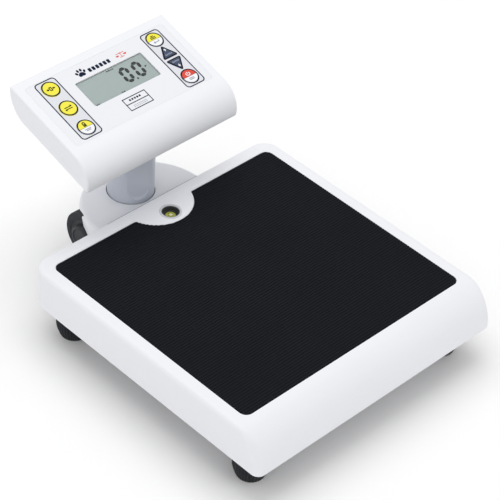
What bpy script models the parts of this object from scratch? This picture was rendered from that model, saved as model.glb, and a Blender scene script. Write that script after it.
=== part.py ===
"""Low floor scale with a swivelling, tilting display head: every piece as its own solid.

Metres, +Z up, +X to the right of a user who stands in front of the display and looks along +Y.
The origin is on the floor, below the middle of the scale's bounding box.
"""
import math

import bmesh
import bpy
from mathutils import Matrix

# ---- driving dimensions ----------------------------------------------------
GAP = 0.0003                # clearance between pieces that touch

HALF_WIDTH = 0.1525         # platform cover
FRONT_Y = -0.2025
BACK_Y = 0.1041
DECK_Z = 0.0780
SKIRT_Z = 0.0367            # lower edge of the cover
NOSE_DEPTH = 0.0331         # front roll of the cover, front to back
NOSE_RISE = 0.0416
WALL = 0.0030
DECK_WALL = 0.0040
REAR_CORNER = 0.0180
FRONT_CORNER = 0.0080
EDGE_ROUND = 0.0045

MAT_HALF = 0.1382
MAT_FRONT = -0.1694
MAT_BACK = 0.0895
MAT_THICK = 0.0013
MAT_RECESS = 0.0014
MAT_CORNER = 0.0080
NOTCH_Y = 0.1015            # middle of the round notch in the mat's rear edge
NOTCH_RADIUS = 0.0377
NOTCH_ROUND = 0.0020

LEVEL_Y = 0.0794            # spirit level in the notch of the mat
LEVEL_RADIUS = 0.0087
LEVEL_DEPTH = 0.0115
VIAL_DROP = 0.0036

FOOT_X = 0.1250
FOOT_FRONT = -0.1676
FOOT_BACK = 0.0736
FOOT_RADIUS = 0.0173
FOOT_SOLE = 0.0136
FOOT_HEIGHT = 0.0280
FOOT_TAPER = 0.0120
STUD_RADIUS = 0.0049

POST_X = 0.0700             # screw posts inside the cover
POST_YS = (-0.1500, 0.0600)
POST_RADIUS = 0.0045
POST_BORE = 0.0020
SCREW_RADIUS = 0.0016
SCREW_HEAD_RADIUS = 0.0040
SCREW_HEAD = 0.0020

FRAME_HALF = 0.1400         # steel plate under the deck
FRAME_FRONT = -0.1700
FRAME_BACK = 0.0980
FRAME_THICK = 0.0020
TRAY_TOP = SKIRT_Z + 0.0023
BOARD_HALF = 0.0300         # board that joins the load cells
BOARD_YS = (0.0150, 0.0550)
BOARD_THICK = 0.0016

BEAM_HALF = 0.0100          # load cells
BEAM_LOW = 0.0594
BEAM_HIGH = 0.0714
BEAM_OVERHANG = 0.0080
BEAM_REACH = 0.0520
BEAM_HOLE = 0.0045
SOCKET_RADIUS = 0.0110
SOCKET_LOW = 0.0412

HOUSING_Y = 0.1118          # middle of the half-round housing behind the platform
HOUSING_TOP = 0.0700
HOUSING_RADIUS = 0.0663
HOUSING_FOOT_RADIUS = 0.0633
HOUSING_WALL = 0.0025
HOUSING_SHOULDER = 0.0040

WHEEL_Y = 0.1374
WHEEL_Z = 0.0415
WHEEL_RADIUS = 0.0256
WHEEL_CROWN = 0.0010
RIM_RADIUS = 0.0180
WHEEL_INNER = 0.0435
WHEEL_OUTER = 0.0599
WHEEL_CLEARANCE = 0.0012
BOSS_RADIUS = 0.0125
BOSS_OUTER = 0.0650
AXLE_RADIUS = 0.0040
AXLE_HALF = BOSS_OUTER - 0.0045
EAR_HALF = 0.0090           # half the width of the bracket's ears that carry the axle

COLUMN_Y = 0.1371
COLUMN_RADIUS = 0.0233
COLUMN_BORE = 0.0180
COLUMN_TOP = 0.1280
RECESS_TURN = math.radians(-20)     # the column's grip recess, turned towards -X from straight ahead
RECESS_FLOOR = 0.0198
RECESS_HALF = 0.0126
RECESS_FOOT = HOUSING_TOP + 0.0050
BRACKET_Z = 0.0560          # underside of the bracket's plate
BRACKET_PLATE = 0.0030
BRACKET_HALF = 0.0360
BRACKET_FRONT = 0.0640
BRACKET_BACK = 0.1565
BUSH_RADIUS = 0.0310
SPIGOT_RADIUS = 0.0120      # threaded foot of the column, below the bracket
SPIGOT_LOW = 0.0500
NUT_RADIUS = 0.0180
NUT_TOP = 0.0557
CAP_THICK = 0.0035
LUG_HALF = 0.0100           # half the width of the lug between the ears of the tilt bracket

PIN_Z = 0.1400
PIN_RADIUS = 0.0030
EAR_RADIUS = 0.0080

HEAD_Y = 0.1553             # middle of the display face
HEAD_Z = 0.1867
HEAD_TILT = math.radians(15.9)
HEAD_HALF = 0.0948
HEAD_THICK = 0.0270
HEAD_BACK = 0.0485          # display face along its slope: back edge, and where the front roll starts
HEAD_ROLL = -0.0460
HEAD_FRONT = -0.0737
HEAD_WALL = 0.0025

KEY_RADIUS = 0.0092
KEY_THICK = 0.0030
KEY_PROUD = 0.0005
ROUND_KEYS = {
    "key_left_upper": (-0.0631, 0.0270),
    "key_left_middle": (-0.0631, 0.0005),
    "key_left_lower": (-0.0631, -0.0261),
    "key_right_upper": (0.0657, 0.0261),
    "key_right_lower": (0.0657, -0.0271),
}
ARROW_KEYS = {"key_up": (0.0658, 0.0090, 1), "key_down": (0.0658, -0.0096, -1)}
ARROW_HALF = 0.0090
ARROW_HEIGHT = 0.0160
ARROW_ROUND = 0.0012

WINDOW = (-0.0391, 0.0430, -0.0110, 0.0210)     # x low, x high, slope low, slope high
OVERLAY_HALF = 0.0852
OVERLAY = (-0.0395, 0.0391)

CELL_RADIUS = 0.0071
CELL_LENGTH = 0.0505
CELL_PITCH = 0.0146
CELLS_X = 0.0570
CELLS_U = -0.0058

ROUND_STEPS = 24

COLOURS = {
    "white_shell": ((0.86, 0.87, 0.89), 0.35, 0.0),
    "rubber_mat": ((0.020, 0.022, 0.026), 0.75, 0.0),
    "steel": ((0.60, 0.61, 0.63), 0.35, 1.0),
    "aluminium": ((0.75, 0.76, 0.78), 0.30, 1.0),
    "dark_plastic": ((0.055, 0.060, 0.068), 0.50, 0.0),
    "tyre_rubber": ((0.060, 0.063, 0.068), 0.70, 0.0),
    "grey_plastic": ((0.50, 0.52, 0.55), 0.40, 0.0),
    "level_fluid": ((0.60, 0.62, 0.06), 0.10, 0.0),
    "overlay": ((0.86, 0.87, 0.90), 0.45, 0.0),
    "key_yellow": ((0.85, 0.76, 0.03), 0.40, 0.0),
    "key_navy": ((0.02, 0.04, 0.10), 0.40, 0.0),
    "key_red": ((0.72, 0.05, 0.01), 0.40, 0.0),
    "clear_window": ((0.80, 0.85, 0.82), 0.05, 0.0),
    "lcd_glass": ((0.42, 0.47, 0.44), 0.20, 0.0),
    "circuit_board": ((0.03, 0.22, 0.10), 0.50, 0.0),
    "cell_wrap": ((0.10, 0.10, 0.12), 0.35, 0.0),
}


# turns a plate drawn in XY so that its outline lies in YZ and its thickness along X
TURN_YZ = Matrix(((0, 0, 1, 0), (1, 0, 0, 0), (0, 1, 0, 0), (0, 0, 0, 1)))
ALONG_X = (0, math.pi / 2, 0)
SIDES = {"left": -1, "right": 1}
FEET = {
    "front_left": (-FOOT_X, FOOT_FRONT),
    "front_right": (FOOT_X, FOOT_FRONT),
    "rear_left": (-FOOT_X, FOOT_BACK),
    "rear_right": (FOOT_X, FOOT_BACK),
}


# ---- scene and helpers -----------------------------------------------------
def clear_scene():
    for item in list(bpy.data.objects):
        bpy.data.objects.remove(item)


def make_collection(name):
    collection = bpy.data.collections.new(name)
    bpy.context.scene.collection.children.link(collection)
    return collection


def make_materials():
    for name, (colour, roughness, metallic) in COLOURS.items():
        material = bpy.data.materials.new(name)
        material.use_nodes = True
        shader = material.node_tree.nodes["Principled BSDF"]
        shader.inputs["Base Color"].default_value = (*colour, 1)
        shader.inputs["Roughness"].default_value = roughness
        shader.inputs["Metallic"].default_value = metallic


def add_empty(name, location, rotation=(0, 0, 0), parent=None):
    empty = bpy.data.objects.new(name, None)
    PARTS.objects.link(empty)
    empty.location = location
    empty.rotation_euler = rotation
    empty.parent = parent
    return empty


def add_mesh(name, mesh, material=None, location=(0, 0, 0), rotation=(0, 0, 0), parent=None):
    """A part if it has a material, and otherwise a cutter."""
    item = bpy.data.objects.new(name, mesh)
    item.location = location
    item.rotation_euler = rotation
    item.parent = parent
    if material:
        PARTS.objects.link(item)
        mesh.materials.append(bpy.data.materials[material])
    else:
        CUTTERS.objects.link(item)
        item.hide_render = True
        item.display_type = "WIRE"
    return item


def box_mesh(low, high):
    mesh = bpy.data.meshes.new("box")
    shape = bmesh.new()
    bmesh.ops.create_cube(shape, size=1)
    size = [b - a for a, b in zip(low, high)]
    middle = [(a + b) / 2 for a, b in zip(low, high)]
    bmesh.ops.scale(shape, vec=size, verts=shape.verts)
    bmesh.ops.translate(shape, vec=middle, verts=shape.verts)
    shape.to_mesh(mesh)
    shape.free()
    return mesh


def box(name, low, high, material=None, **place):
    return add_mesh(name, box_mesh(low, high), material, **place)


def rod_mesh(radius, length, steps=ROUND_STEPS):
    """A cylinder along Z, centred."""
    mesh = bpy.data.meshes.new("rod")
    shape = bmesh.new()
    bmesh.ops.create_cone(shape, cap_ends=True, segments=steps, radius1=radius, radius2=radius, depth=length)
    shape.to_mesh(mesh)
    shape.free()
    smooth(mesh)
    return mesh


def rod(name, radius, low, high, material=None, steps=ROUND_STEPS, location=(0, 0, 0), **place):
    """A cylinder along the object's own Z, from low to high."""
    mesh = rod_mesh(radius, high - low, steps)
    mesh.transform(shift(0, 0, (low + high) / 2))
    return add_mesh(name, mesh, material, location=location, **place)


def smooth(mesh):
    mesh.shade_smooth()
    mesh.set_sharp_from_angle(angle=math.radians(35))


def turned(name, profile, material=None, closed=False, steps=ROUND_STEPS, **place):
    """A profile of (radius, height) points, turned about the object's Z."""
    mesh = bpy.data.meshes.new(name)
    points = [(radius, 0, height) for radius, height in profile]
    edges = [(i, i + 1) for i in range(len(points) - 1)]
    if closed:
        edges.append((len(points) - 1, 0))
    mesh.from_pydata(points, edges, [])
    item = add_mesh(name, mesh, material, **place)
    screw = item.modifiers.new("turn", "SCREW")
    screw.steps = steps
    screw.render_steps = steps
    screw.use_merge_vertices = True
    screw.merge_threshold = 0.00002
    screw.use_normal_calculate = False
    screw.use_smooth_shade = True
    return item


def plate_mesh(outline, thickness):
    """A flat outline in XY, thickened along Z about its middle."""
    curve = bpy.data.curves.new("outline", "CURVE")
    curve.dimensions = "2D"
    curve.fill_mode = "BOTH"
    curve.extrude = thickness / 2
    spline = curve.splines.new("POLY")
    spline.points.add(len(outline) - 1)
    for point, (x, y) in zip(spline.points, outline):
        point.co = (x, y, 0, 1)
    spline.use_cyclic_u = True
    source = bpy.data.objects.new("outline", curve)
    CUTTERS.objects.link(source)
    graph = bpy.context.evaluated_depsgraph_get()
    mesh = bpy.data.meshes.new_from_object(source.evaluated_get(graph))
    shape = bmesh.new()
    shape.from_mesh(mesh)
    bmesh.ops.remove_doubles(shape, verts=shape.verts, dist=0.00001)
    shape.to_mesh(mesh)
    shape.free()
    bpy.data.objects.remove(source)
    return mesh


def plate(name, outline, low, high, material=None, **place):
    """An outline in XY that fills the heights from low to high."""
    mesh = plate_mesh(outline, high - low)
    mesh.transform(shift(0, 0, (low + high) / 2))
    return add_mesh(name, mesh, material, **place)


def side_plate(name, outline, half_width, material=None, **place):
    """An outline of (y, z) points that fills x from -half_width to half_width."""
    mesh = plate_mesh(outline, 2 * half_width)
    mesh.transform(TURN_YZ)
    return add_mesh(name, mesh, material, **place)


def shift(x, y, z):
    return Matrix.Translation((x, y, z))


def boolean(target, tool, operation="DIFFERENCE"):
    modifier = target.modifiers.new(operation.lower(), "BOOLEAN")
    modifier.operation = operation
    modifier.object = tool
    return target


def bevel(item, width, segments=2, angle=50):
    modifier = item.modifiers.new("round", "BEVEL")
    modifier.width = width
    modifier.segments = segments
    modifier.limit_method = "ANGLE"
    modifier.angle_limit = math.radians(angle)
    return item


def arc(centre, radius, start, stop, steps):
    """Points on an arc, angles in degrees, both ends included."""
    angles = [math.radians(start + (stop - start) * i / steps) for i in range(steps + 1)]
    return [(centre[0] + radius * math.cos(a), centre[1] + radius * math.sin(a)) for a in angles]


def rounded_box(x0, x1, y0, y1, front, back, steps=5):
    """A rectangle with one corner radius at its low y side and another at its high y side."""
    return (arc((x1 - front, y0 + front), front, -90, 0, steps)
            + arc((x1 - back, y1 - back), back, 0, 90, steps)
            + arc((x0 + back, y1 - back), back, 90, 180, steps)
            + arc((x0 + front, y0 + front), front, 180, 270, steps))


def quarter(centre, across, up, start, stop, power, steps):
    """A stretch of superellipse; angles in degrees choose the quadrant."""
    points = []
    for i in range(steps + 1):
        angle = math.radians(start + (stop - start) * i / steps)
        c, s = math.cos(angle), math.sin(angle)
        points.append((centre[0] + across * math.copysign(abs(c) ** (2 / power), c),
                       centre[1] + up * math.copysign(abs(s) ** (2 / power), s)))
    return points


# ---- platform --------------------------------------------------------------
def nose_profile(inset, top, floor):
    """The platform's side outline: flat deck, full-height front roll, open at the back."""
    centre = (FRONT_Y + NOSE_DEPTH, SKIRT_Z)
    roll = quarter(centre, NOSE_DEPTH - inset, NOSE_RISE - top, 90, 180, 2, 10)
    foot = [] if floor == SKIRT_Z else [(FRONT_Y + inset, floor)]
    return roll + foot + [(BACK_Y + 0.01, floor), (BACK_Y + 0.01, SKIRT_Z + NOSE_RISE - top)]


def platform_cover():
    outline = rounded_box(-HALF_WIDTH, HALF_WIDTH, FRONT_Y, BACK_Y, FRONT_CORNER, REAR_CORNER)
    cover = plate("platform_cover", outline, SKIRT_Z - 0.01, DECK_Z, "white_shell")
    bevel(cover, EDGE_ROUND, 3, 60)
    boolean(cover, side_plate("cut_nose", nose_profile(0, 0, SKIRT_Z), HALF_WIDTH + 0.01), "INTERSECT")
    inner = rounded_box(-HALF_WIDTH + WALL, HALF_WIDTH - WALL, FRONT_Y + WALL, BACK_Y - WALL,
                        FRONT_CORNER - WALL, REAR_CORNER - WALL)
    hollow = plate("cut_hollow", inner, SKIRT_Z - 0.02, DECK_Z - DECK_WALL)
    inner_nose = nose_profile(WALL, DECK_WALL, SKIRT_Z - 0.03)
    boolean(hollow, side_plate("cut_hollow_nose", inner_nose, HALF_WIDTH + 0.01), "INTERSECT")
    boolean(cover, hollow)
    boolean(cover, plate("cut_recess", mat_outline(GAP), DECK_Z - MAT_RECESS, DECK_Z + 0.01))
    boolean(cover, rod("cut_level", LEVEL_RADIUS + GAP, 0.06, 0.09, location=(0, LEVEL_Y, 0)))
    boolean(cover, box("cut_bracket_slot", (-BRACKET_HALF - 0.0005, BACK_Y - 0.02, BRACKET_Z - 0.0005),
                       (BRACKET_HALF + 0.0005, BACK_Y + 0.02, BRACKET_Z + BRACKET_PLATE + 0.0005)))
    for side, sign in SIDES.items():
        for end, y in zip(("front", "rear"), POST_YS):
            post = rod(f"add_post_{side}_{end}", POST_RADIUS, SKIRT_Z + 0.0026, DECK_Z - DECK_WALL + 0.001,
                       steps=12, location=(sign * POST_X, y, 0))
            boolean(cover, post, "UNION")
            boolean(cover, rod(f"cut_post_{side}_{end}", POST_BORE, 0.0, 0.0480,
                               steps=12, location=(sign * POST_X, y, 0)))
    return cover


def mat_outline(grow):
    """The mat's rounded rectangle with the round notch in its rear edge."""
    half, front, back = MAT_HALF + grow, MAT_FRONT - grow, MAT_BACK + grow
    radius = NOTCH_RADIUS - grow
    tip = NOTCH_ROUND + grow
    tip_y = back - tip
    tip_x = math.sqrt((radius + tip) ** 2 - (tip_y - NOTCH_Y) ** 2)
    meet = math.degrees(math.atan2(tip_y - NOTCH_Y, tip_x))
    outer = rounded_box(-half, half, front, back, MAT_CORNER, MAT_CORNER)
    split = len(outer) // 2
    notch = (arc((tip_x, tip_y), tip, 90, 180 + meet, 3)
             + arc((0, NOTCH_Y), radius, meet, -180 - meet, 14)[1:-1]
             + arc((-tip_x, tip_y), tip, -meet, 90, 3))
    return outer[:split] + notch + outer[split:]


def deck_mat():
    floor = DECK_Z - MAT_RECESS + GAP
    plate("deck_mat", mat_outline(0), floor, floor + MAT_THICK, "rubber_mat")


def deck_frame():
    top = DECK_Z - DECK_WALL - GAP
    frame = box("deck_frame", (-FRAME_HALF, FRAME_FRONT, top - FRAME_THICK), (FRAME_HALF, FRAME_BACK, top),
                "steel")
    boolean(frame, rod("cut_frame_level", LEVEL_RADIUS + 0.0015, 0.06, 0.09, location=(0, LEVEL_Y, 0)))
    for side, sign in SIDES.items():
        for end, y in zip(("front", "rear"), POST_YS):
            boolean(frame, rod(f"cut_frame_{side}_{end}", POST_RADIUS + 0.0010, 0.06, 0.09, steps=12,
                               location=(sign * POST_X, y, 0)))


def base_tray():
    inner = WALL + GAP
    outline = rounded_box(-HALF_WIDTH + inner, HALF_WIDTH - inner, FRONT_Y + inner + 0.0005, BACK_Y - inner,
                          FRONT_CORNER - inner, REAR_CORNER - inner)
    tray = plate("base_tray", outline, SKIRT_Z + GAP, TRAY_TOP, "grey_plastic")
    for foot, (x, y) in FEET.items():
        boolean(tray, rod(f"cut_tray_{foot}", 0.0080, 0.02, 0.05, steps=16, location=(x, y, 0)))
    for side, sign in SIDES.items():
        for end, y in zip(("front", "rear"), POST_YS):
            place = (sign * POST_X, y, 0)
            boolean(tray, rod(f"cut_tray_{side}_{end}", 0.0022, 0.02, 0.05, steps=12, location=place))
            low = SKIRT_Z - SCREW_HEAD
            turned(f"tray_screw_{side}_{end}", [
                (0, SKIRT_Z + 0.0100), (SCREW_RADIUS, SKIRT_Z + 0.0100), (SCREW_RADIUS, SKIRT_Z),
                (SCREW_HEAD_RADIUS, SKIRT_Z), (SCREW_HEAD_RADIUS, low), (SCREW_RADIUS, low),
                (0.0010, low + 0.0010), (0, low + 0.0010),
            ], "steel", steps=12, location=place)


def spirit_level():
    rim, bore = LEVEL_RADIUS, LEVEL_RADIUS - 0.0016
    top, floor = DECK_Z - 0.0002, DECK_Z - LEVEL_DEPTH
    turned("level_cup", [(0, floor + 0.001), (bore, floor + 0.001), (bore, top), (rim, top), (rim, floor),
                         (0, floor)], "dark_plastic", location=(0, LEVEL_Y, 0))
    vial = bore - GAP
    fill = top - VIAL_DROP
    turned("level_vial", [(0, fill), (vial * 0.6, fill - 0.0003), (vial, fill - 0.0012),
                          (vial, floor + 0.0013), (0, floor + 0.0013)],
           "level_fluid", location=(0, LEVEL_Y, 0))


def load_cells():
    low, high = BEAM_LOW, BEAM_HIGH
    for foot, (x, y) in FEET.items():
        inward = 1 if y < 0 else -1
        ends = sorted((y - inward * BEAM_OVERHANG, y + inward * BEAM_REACH))
        cell = box(f"load_cell_{foot}", (x - BEAM_HALF, ends[0], low), (x + BEAM_HALF, ends[1], high),
                   "aluminium")
        middle = y + inward * 0.024
        for number, offset in enumerate((-BEAM_HOLE, BEAM_HOLE)):
            boolean(cell, rod(f"cut_cell_{foot}_{number}", BEAM_HOLE, -0.02, 0.02, steps=16, rotation=ALONG_X,
                              location=(x, middle + offset, (low + high) / 2)))
        turned(f"foot_socket_{foot}", [(SOCKET_RADIUS, low - GAP), (SOCKET_RADIUS, low - 0.0120),
                                       (SOCKET_RADIUS - 0.0025, SOCKET_LOW), (STUD_RADIUS + GAP, SOCKET_LOW),
                                       (STUD_RADIUS + GAP, low - GAP)],
               "steel", closed=True, location=(x, y, 0))


def foot_profile():
    bore = STUD_RADIUS + GAP
    return [(0, 0.0095), (bore, 0.0095), (bore, FOOT_HEIGHT), (0.0150, FOOT_HEIGHT),
            (FOOT_RADIUS, FOOT_HEIGHT - 0.0020), (FOOT_RADIUS, FOOT_TAPER), (0.0155, 0.0040),
            (FOOT_SOLE, 0), (0, 0)]


def feet():
    for foot, (x, y) in FEET.items():
        turned(f"foot_pad_{foot}", foot_profile(), "dark_plastic", location=(x, y, 0))
        rod(f"foot_stud_{foot}", STUD_RADIUS, 0.0098, 0.0580, "steel", steps=12, location=(x, y, 0))


def junction_board():
    top = DECK_Z - DECK_WALL - GAP - FRAME_THICK - GAP
    box("junction_board", (-BOARD_HALF, BOARD_YS[0], top - BOARD_THICK), (BOARD_HALF, BOARD_YS[1], top),
        "circuit_board")


# ---- rear housing, bracket and wheels --------------------------------------
def neck_housing():
    top, radius, wall, shoulder = HOUSING_TOP, HOUSING_RADIUS, HOUSING_WALL, HOUSING_SHOULDER
    outer = quarter((radius - shoulder, top - shoulder), shoulder, shoulder, 90, 0, 2, 4)
    profile = ([(0, top)] + outer + [(HOUSING_FOOT_RADIUS, SKIRT_Z), (HOUSING_FOOT_RADIUS - wall, SKIRT_Z),
                                     (radius - wall, top - shoulder), (radius - shoulder, top - wall),
                                     (0, top - wall)])
    housing = turned("neck_housing", profile, "white_shell", steps=48, location=(0, HOUSING_Y, 0))
    front = BACK_Y + GAP
    boolean(housing, box("cut_housing_front", (-0.1, front - 0.1, 0), (0.1, front, 0.1)))
    boolean(housing, rod("cut_housing_column", COLUMN_RADIUS + 0.0006, 0.06, 0.09,
                         location=(0, COLUMN_Y, 0)))
    floor_radius, floor_half = HOUSING_FOOT_RADIUS - wall - GAP, WHEEL_INNER - 0.0015
    side_angle = math.degrees(math.acos(floor_half / floor_radius))
    floor_outline = arc((0, HOUSING_Y), floor_radius, side_angle, 180 - side_angle, 14)
    floor_outline += [(-floor_half, front + 0.0005), (floor_half, front + 0.0005)]
    floor = plate("neck_floor", floor_outline, SKIRT_Z, SKIRT_Z + 0.0015, "grey_plastic")
    for side, sign in SIDES.items():
        slot = rod(f"cut_wheel_{side}", WHEEL_RADIUS + WHEEL_CLEARANCE, WHEEL_INNER - 0.0010,
                   WHEEL_OUTER + 0.0010, rotation=(0, sign * math.pi / 2, 0), location=(0, WHEEL_Y, WHEEL_Z))
        hole = rod(f"cut_boss_{side}", BOSS_RADIUS + 0.0015, WHEEL_OUTER - 0.0020, BOSS_OUTER + 0.0100,
                   rotation=(0, sign * math.pi / 2, 0), location=(0, WHEEL_Y, WHEEL_Z))
        boolean(housing, slot)
        boolean(housing, hole)
    boolean(floor, box("cut_floor_axle", (-0.1, WHEEL_Y - EAR_HALF - 0.0010, 0), (0.1, 0.3, 0.1)))


def rear_bracket():
    low, high = BRACKET_Z, BRACKET_Z + BRACKET_PLATE
    half, front = BRACKET_HALF, BRACKET_FRONT
    frame_low = DECK_Z - DECK_WALL - GAP - FRAME_THICK - GAP
    bracket = box("rear_bracket", (-half, front, low), (half, BRACKET_BACK, high), "steel")
    boolean(bracket, box("add_riser", (-half, front, low + 0.001), (half, front + 0.0025, frame_low)),
            "UNION")
    boolean(bracket, box("add_flange", (-half, front - 0.0070, frame_low - 0.0025),
                         (half, front + 0.0015, frame_low)), "UNION")
    for side, sign in SIDES.items():
        inner, outer = sorted((sign * (half - 0.0030), sign * (half - 0.0001)))
        ear = box(f"add_axle_ear_{side}", (inner, WHEEL_Y - EAR_HALF, WHEEL_Z - 0.0075),
                  (outer, WHEEL_Y + EAR_HALF, low + 0.001))
        boolean(bracket, ear, "UNION")
    boolean(bracket, rod("cut_bracket_axle", AXLE_RADIUS + GAP, -0.05, 0.05, rotation=ALONG_X,
                         location=(0, WHEEL_Y, WHEEL_Z)))
    boolean(bracket, rod("cut_bracket_column", SPIGOT_RADIUS + 0.0006, 0.04, 0.07, location=(0, COLUMN_Y, 0)))
    collar = HOUSING_TOP - HOUSING_WALL - 0.0005
    turned("column_bush", [(BUSH_RADIUS, collar), (BUSH_RADIUS, high + GAP),
                           (COLUMN_RADIUS + GAP, high + GAP), (COLUMN_RADIUS + GAP, collar)],
           "grey_plastic", closed=True, location=(0, COLUMN_Y, 0))


def wheels():
    rod("wheel_axle", AXLE_RADIUS, -AXLE_HALF, AXLE_HALF, "steel", steps=20, rotation=ALONG_X,
        location=(0, WHEEL_Y, WHEEL_Z))
    inner, outer, crown = WHEEL_INNER, WHEEL_OUTER, WHEEL_CROWN
    tyre = [(WHEEL_RADIUS - crown, outer), (WHEEL_RADIUS, outer - crown), (WHEEL_RADIUS, inner + crown),
            (WHEEL_RADIUS - crown, inner), (RIM_RADIUS, inner), (RIM_RADIUS, outer)]
    bore, rim = AXLE_RADIUS + GAP, RIM_RADIUS - GAP
    hub = [(0, BOSS_OUTER), (BOSS_RADIUS - 0.0010, BOSS_OUTER), (BOSS_RADIUS, BOSS_OUTER - 0.0010),
           (BOSS_RADIUS, outer - 0.0008), (rim, outer - 0.0008), (rim, inner + 0.0008),
           (bore, inner + 0.0008), (bore, AXLE_HALF + 0.0005), (0, AXLE_HALF + 0.0005)]
    for side, sign in SIDES.items():
        place = {"location": (0, WHEEL_Y, WHEEL_Z), "rotation": (0, sign * math.pi / 2, 0)}
        turned(f"wheel_tyre_{side}", tyre, "tyre_rubber", closed=True, **place)
        turned(f"wheel_hub_{side}", hub, "dark_plastic", steps=24, **place)


# ---- column ----------------------------------------------------------------
def column():
    foot = BRACKET_Z + BRACKET_PLATE + 0.0006
    spigot, bore = SPIGOT_RADIUS, SPIGOT_RADIUS / 2
    tube = turned("column_tube", [
        (COLUMN_RADIUS, COLUMN_TOP), (COLUMN_RADIUS, foot), (spigot, foot), (spigot, SPIGOT_LOW),
        (bore, SPIGOT_LOW), (bore, foot + 0.0040), (COLUMN_BORE, foot + 0.0040), (COLUMN_BORE, COLUMN_TOP),
    ], "grey_plastic", closed=True, steps=36, location=(0, COLUMN_Y, 0))
    outline = (arc((0, RECESS_FOOT + RECESS_HALF), RECESS_HALF, 180, 360, 12)
               + [(RECESS_HALF, COLUMN_TOP + 0.01), (-RECESS_HALF, COLUMN_TOP + 0.01)])
    middle = (RECESS_FLOOR * math.sin(RECESS_TURN), COLUMN_Y - RECESS_FLOOR * math.cos(RECESS_TURN), 0)
    recess = plate("cut_column_recess", outline, 0, 0.02, location=middle,
                   rotation=(math.pi / 2, 0, RECESS_TURN))
    boolean(tube, recess)
    turned("column_nut", [(NUT_RADIUS, NUT_TOP), (NUT_RADIUS, SPIGOT_LOW), (spigot + GAP, SPIGOT_LOW),
                          (spigot + GAP, NUT_TOP)], "steel", closed=True, steps=24,
           location=(0, COLUMN_Y, 0))
    cap_top = COLUMN_TOP + CAP_THICK
    cap = turned("column_cap", [
        (0, cap_top), (COLUMN_RADIUS, cap_top), (COLUMN_RADIUS, COLUMN_TOP + GAP),
        (COLUMN_BORE - GAP, COLUMN_TOP + GAP), (COLUMN_BORE - GAP, COLUMN_TOP - 0.0050),
        (0, COLUMN_TOP - 0.0050),
    ], "grey_plastic", location=(0, COLUMN_Y, 0))
    lug = EAR_RADIUS - 0.0005
    boolean(cap, box("add_lug_post", (-LUG_HALF, -lug, cap_top - 0.001), (LUG_HALF, lug, PIN_Z),
                     location=(0, COLUMN_Y, 0)), "UNION")
    boolean(cap, rod("add_lug", lug, 0.0001 - LUG_HALF, LUG_HALF - 0.0001, rotation=ALONG_X,
                     location=(0, COLUMN_Y, PIN_Z)), "UNION")
    boolean(cap, rod("cut_lug", PIN_RADIUS + GAP, -0.03, 0.03, rotation=ALONG_X, steps=20,
                     location=(0, COLUMN_Y, PIN_Z)))


# ---- display head ----------------------------------------------------------
def head_profile(inset, top, open_bottom):
    """The head's side outline as (slope, height) points; the face lies at height 0."""
    low = -HEAD_THICK
    nose = quarter((HEAD_ROLL, low), HEAD_ROLL - HEAD_FRONT - inset, HEAD_THICK - top, 90, 180, 2, 8)
    heel_centre = (0.0220, 0)
    heel_reach = HEAD_BACK - heel_centre[0] - inset
    heel_end = math.degrees(math.asin((top / (HEAD_THICK - inset)) ** (1.75 / 2))) if top else 0
    heel = quarter(heel_centre, heel_reach, HEAD_THICK - inset, -90, -heel_end, 1.75, 8)
    if open_bottom:
        under = low - 0.003
        return nose + [(nose[-1][0], under), (heel[0][0], under)] + heel
    return nose + heel


def head_parts():
    offset = head_place(0, 0, 0)
    pivot = add_empty("head_pivot", (0, COLUMN_Y, PIN_Z))
    frame = add_empty("head_frame", offset, (HEAD_TILT, 0, 0), pivot)
    head_shell(frame)
    rear_cover(frame)
    face(frame)
    inside_head(frame)
    tilt_bracket(frame, pivot)
    keys(frame)


def head_place(x, slope, height):
    """A point of the head's own frame, measured from the tilt pin in the world's directions."""
    c, s = math.cos(HEAD_TILT), math.sin(HEAD_TILT)
    return (x, HEAD_Y + slope * c - height * s - COLUMN_Y, HEAD_Z + slope * s + height * c - PIN_Z)


def pin_in_head():
    """The tilt pin's slope and height in the head's own frame."""
    c, s = math.cos(HEAD_TILT), math.sin(HEAD_TILT)
    y, z = COLUMN_Y - HEAD_Y, PIN_Z - HEAD_Z
    return y * c + z * s, z * c - y * s


def head_shell(frame):
    shell = side_plate("head_shell", head_profile(0, 0, False), HEAD_HALF, "white_shell", parent=frame)
    bevel(shell, 0.0025, 2, 50)
    hollow = head_profile(HEAD_WALL, HEAD_WALL + 0.0007, True)
    boolean(shell, side_plate("cut_head_hollow", hollow, HEAD_HALF - HEAD_WALL, parent=frame))
    overlay = rounded_box(-OVERLAY_HALF - GAP, OVERLAY_HALF + GAP, OVERLAY[0] - GAP, OVERLAY[1] + GAP,
                          0.004, 0.004, 3)
    boolean(shell, plate("cut_overlay_recess", overlay, -0.0008, 0.01, parent=frame))
    boolean(shell, plate("cut_window", window_outline(0), -0.01, 0.01, parent=frame))
    for name, outline in key_outlines(GAP).items():
        boolean(shell, plate(f"cut_{name}", outline, -0.01, 0.01, parent=frame))


def window_outline(inset):
    x0, x1, u0, u1 = WINDOW
    return rounded_box(x0 + inset, x1 - inset, u0 + inset, u1 - inset, 0.002, 0.002, 3)


def key_outlines(grow):
    """Each key's outline in the head's (x, slope) plane."""
    outlines = {}
    for name, (x, slope) in ROUND_KEYS.items():
        outlines[name] = arc((x, slope), KEY_RADIUS + grow, 0, 360, 20)[:-1]
    for name, (x, slope, way) in ARROW_KEYS.items():
        foot, tip = slope - way * ARROW_HEIGHT / 2, slope + way * ARROW_HEIGHT / 2
        corners = [(x - ARROW_HALF, foot), (x + ARROW_HALF, foot), (x, tip)]
        outlines[name] = round_corners(corners[::way], ARROW_ROUND, grow)
    return outlines


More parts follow.
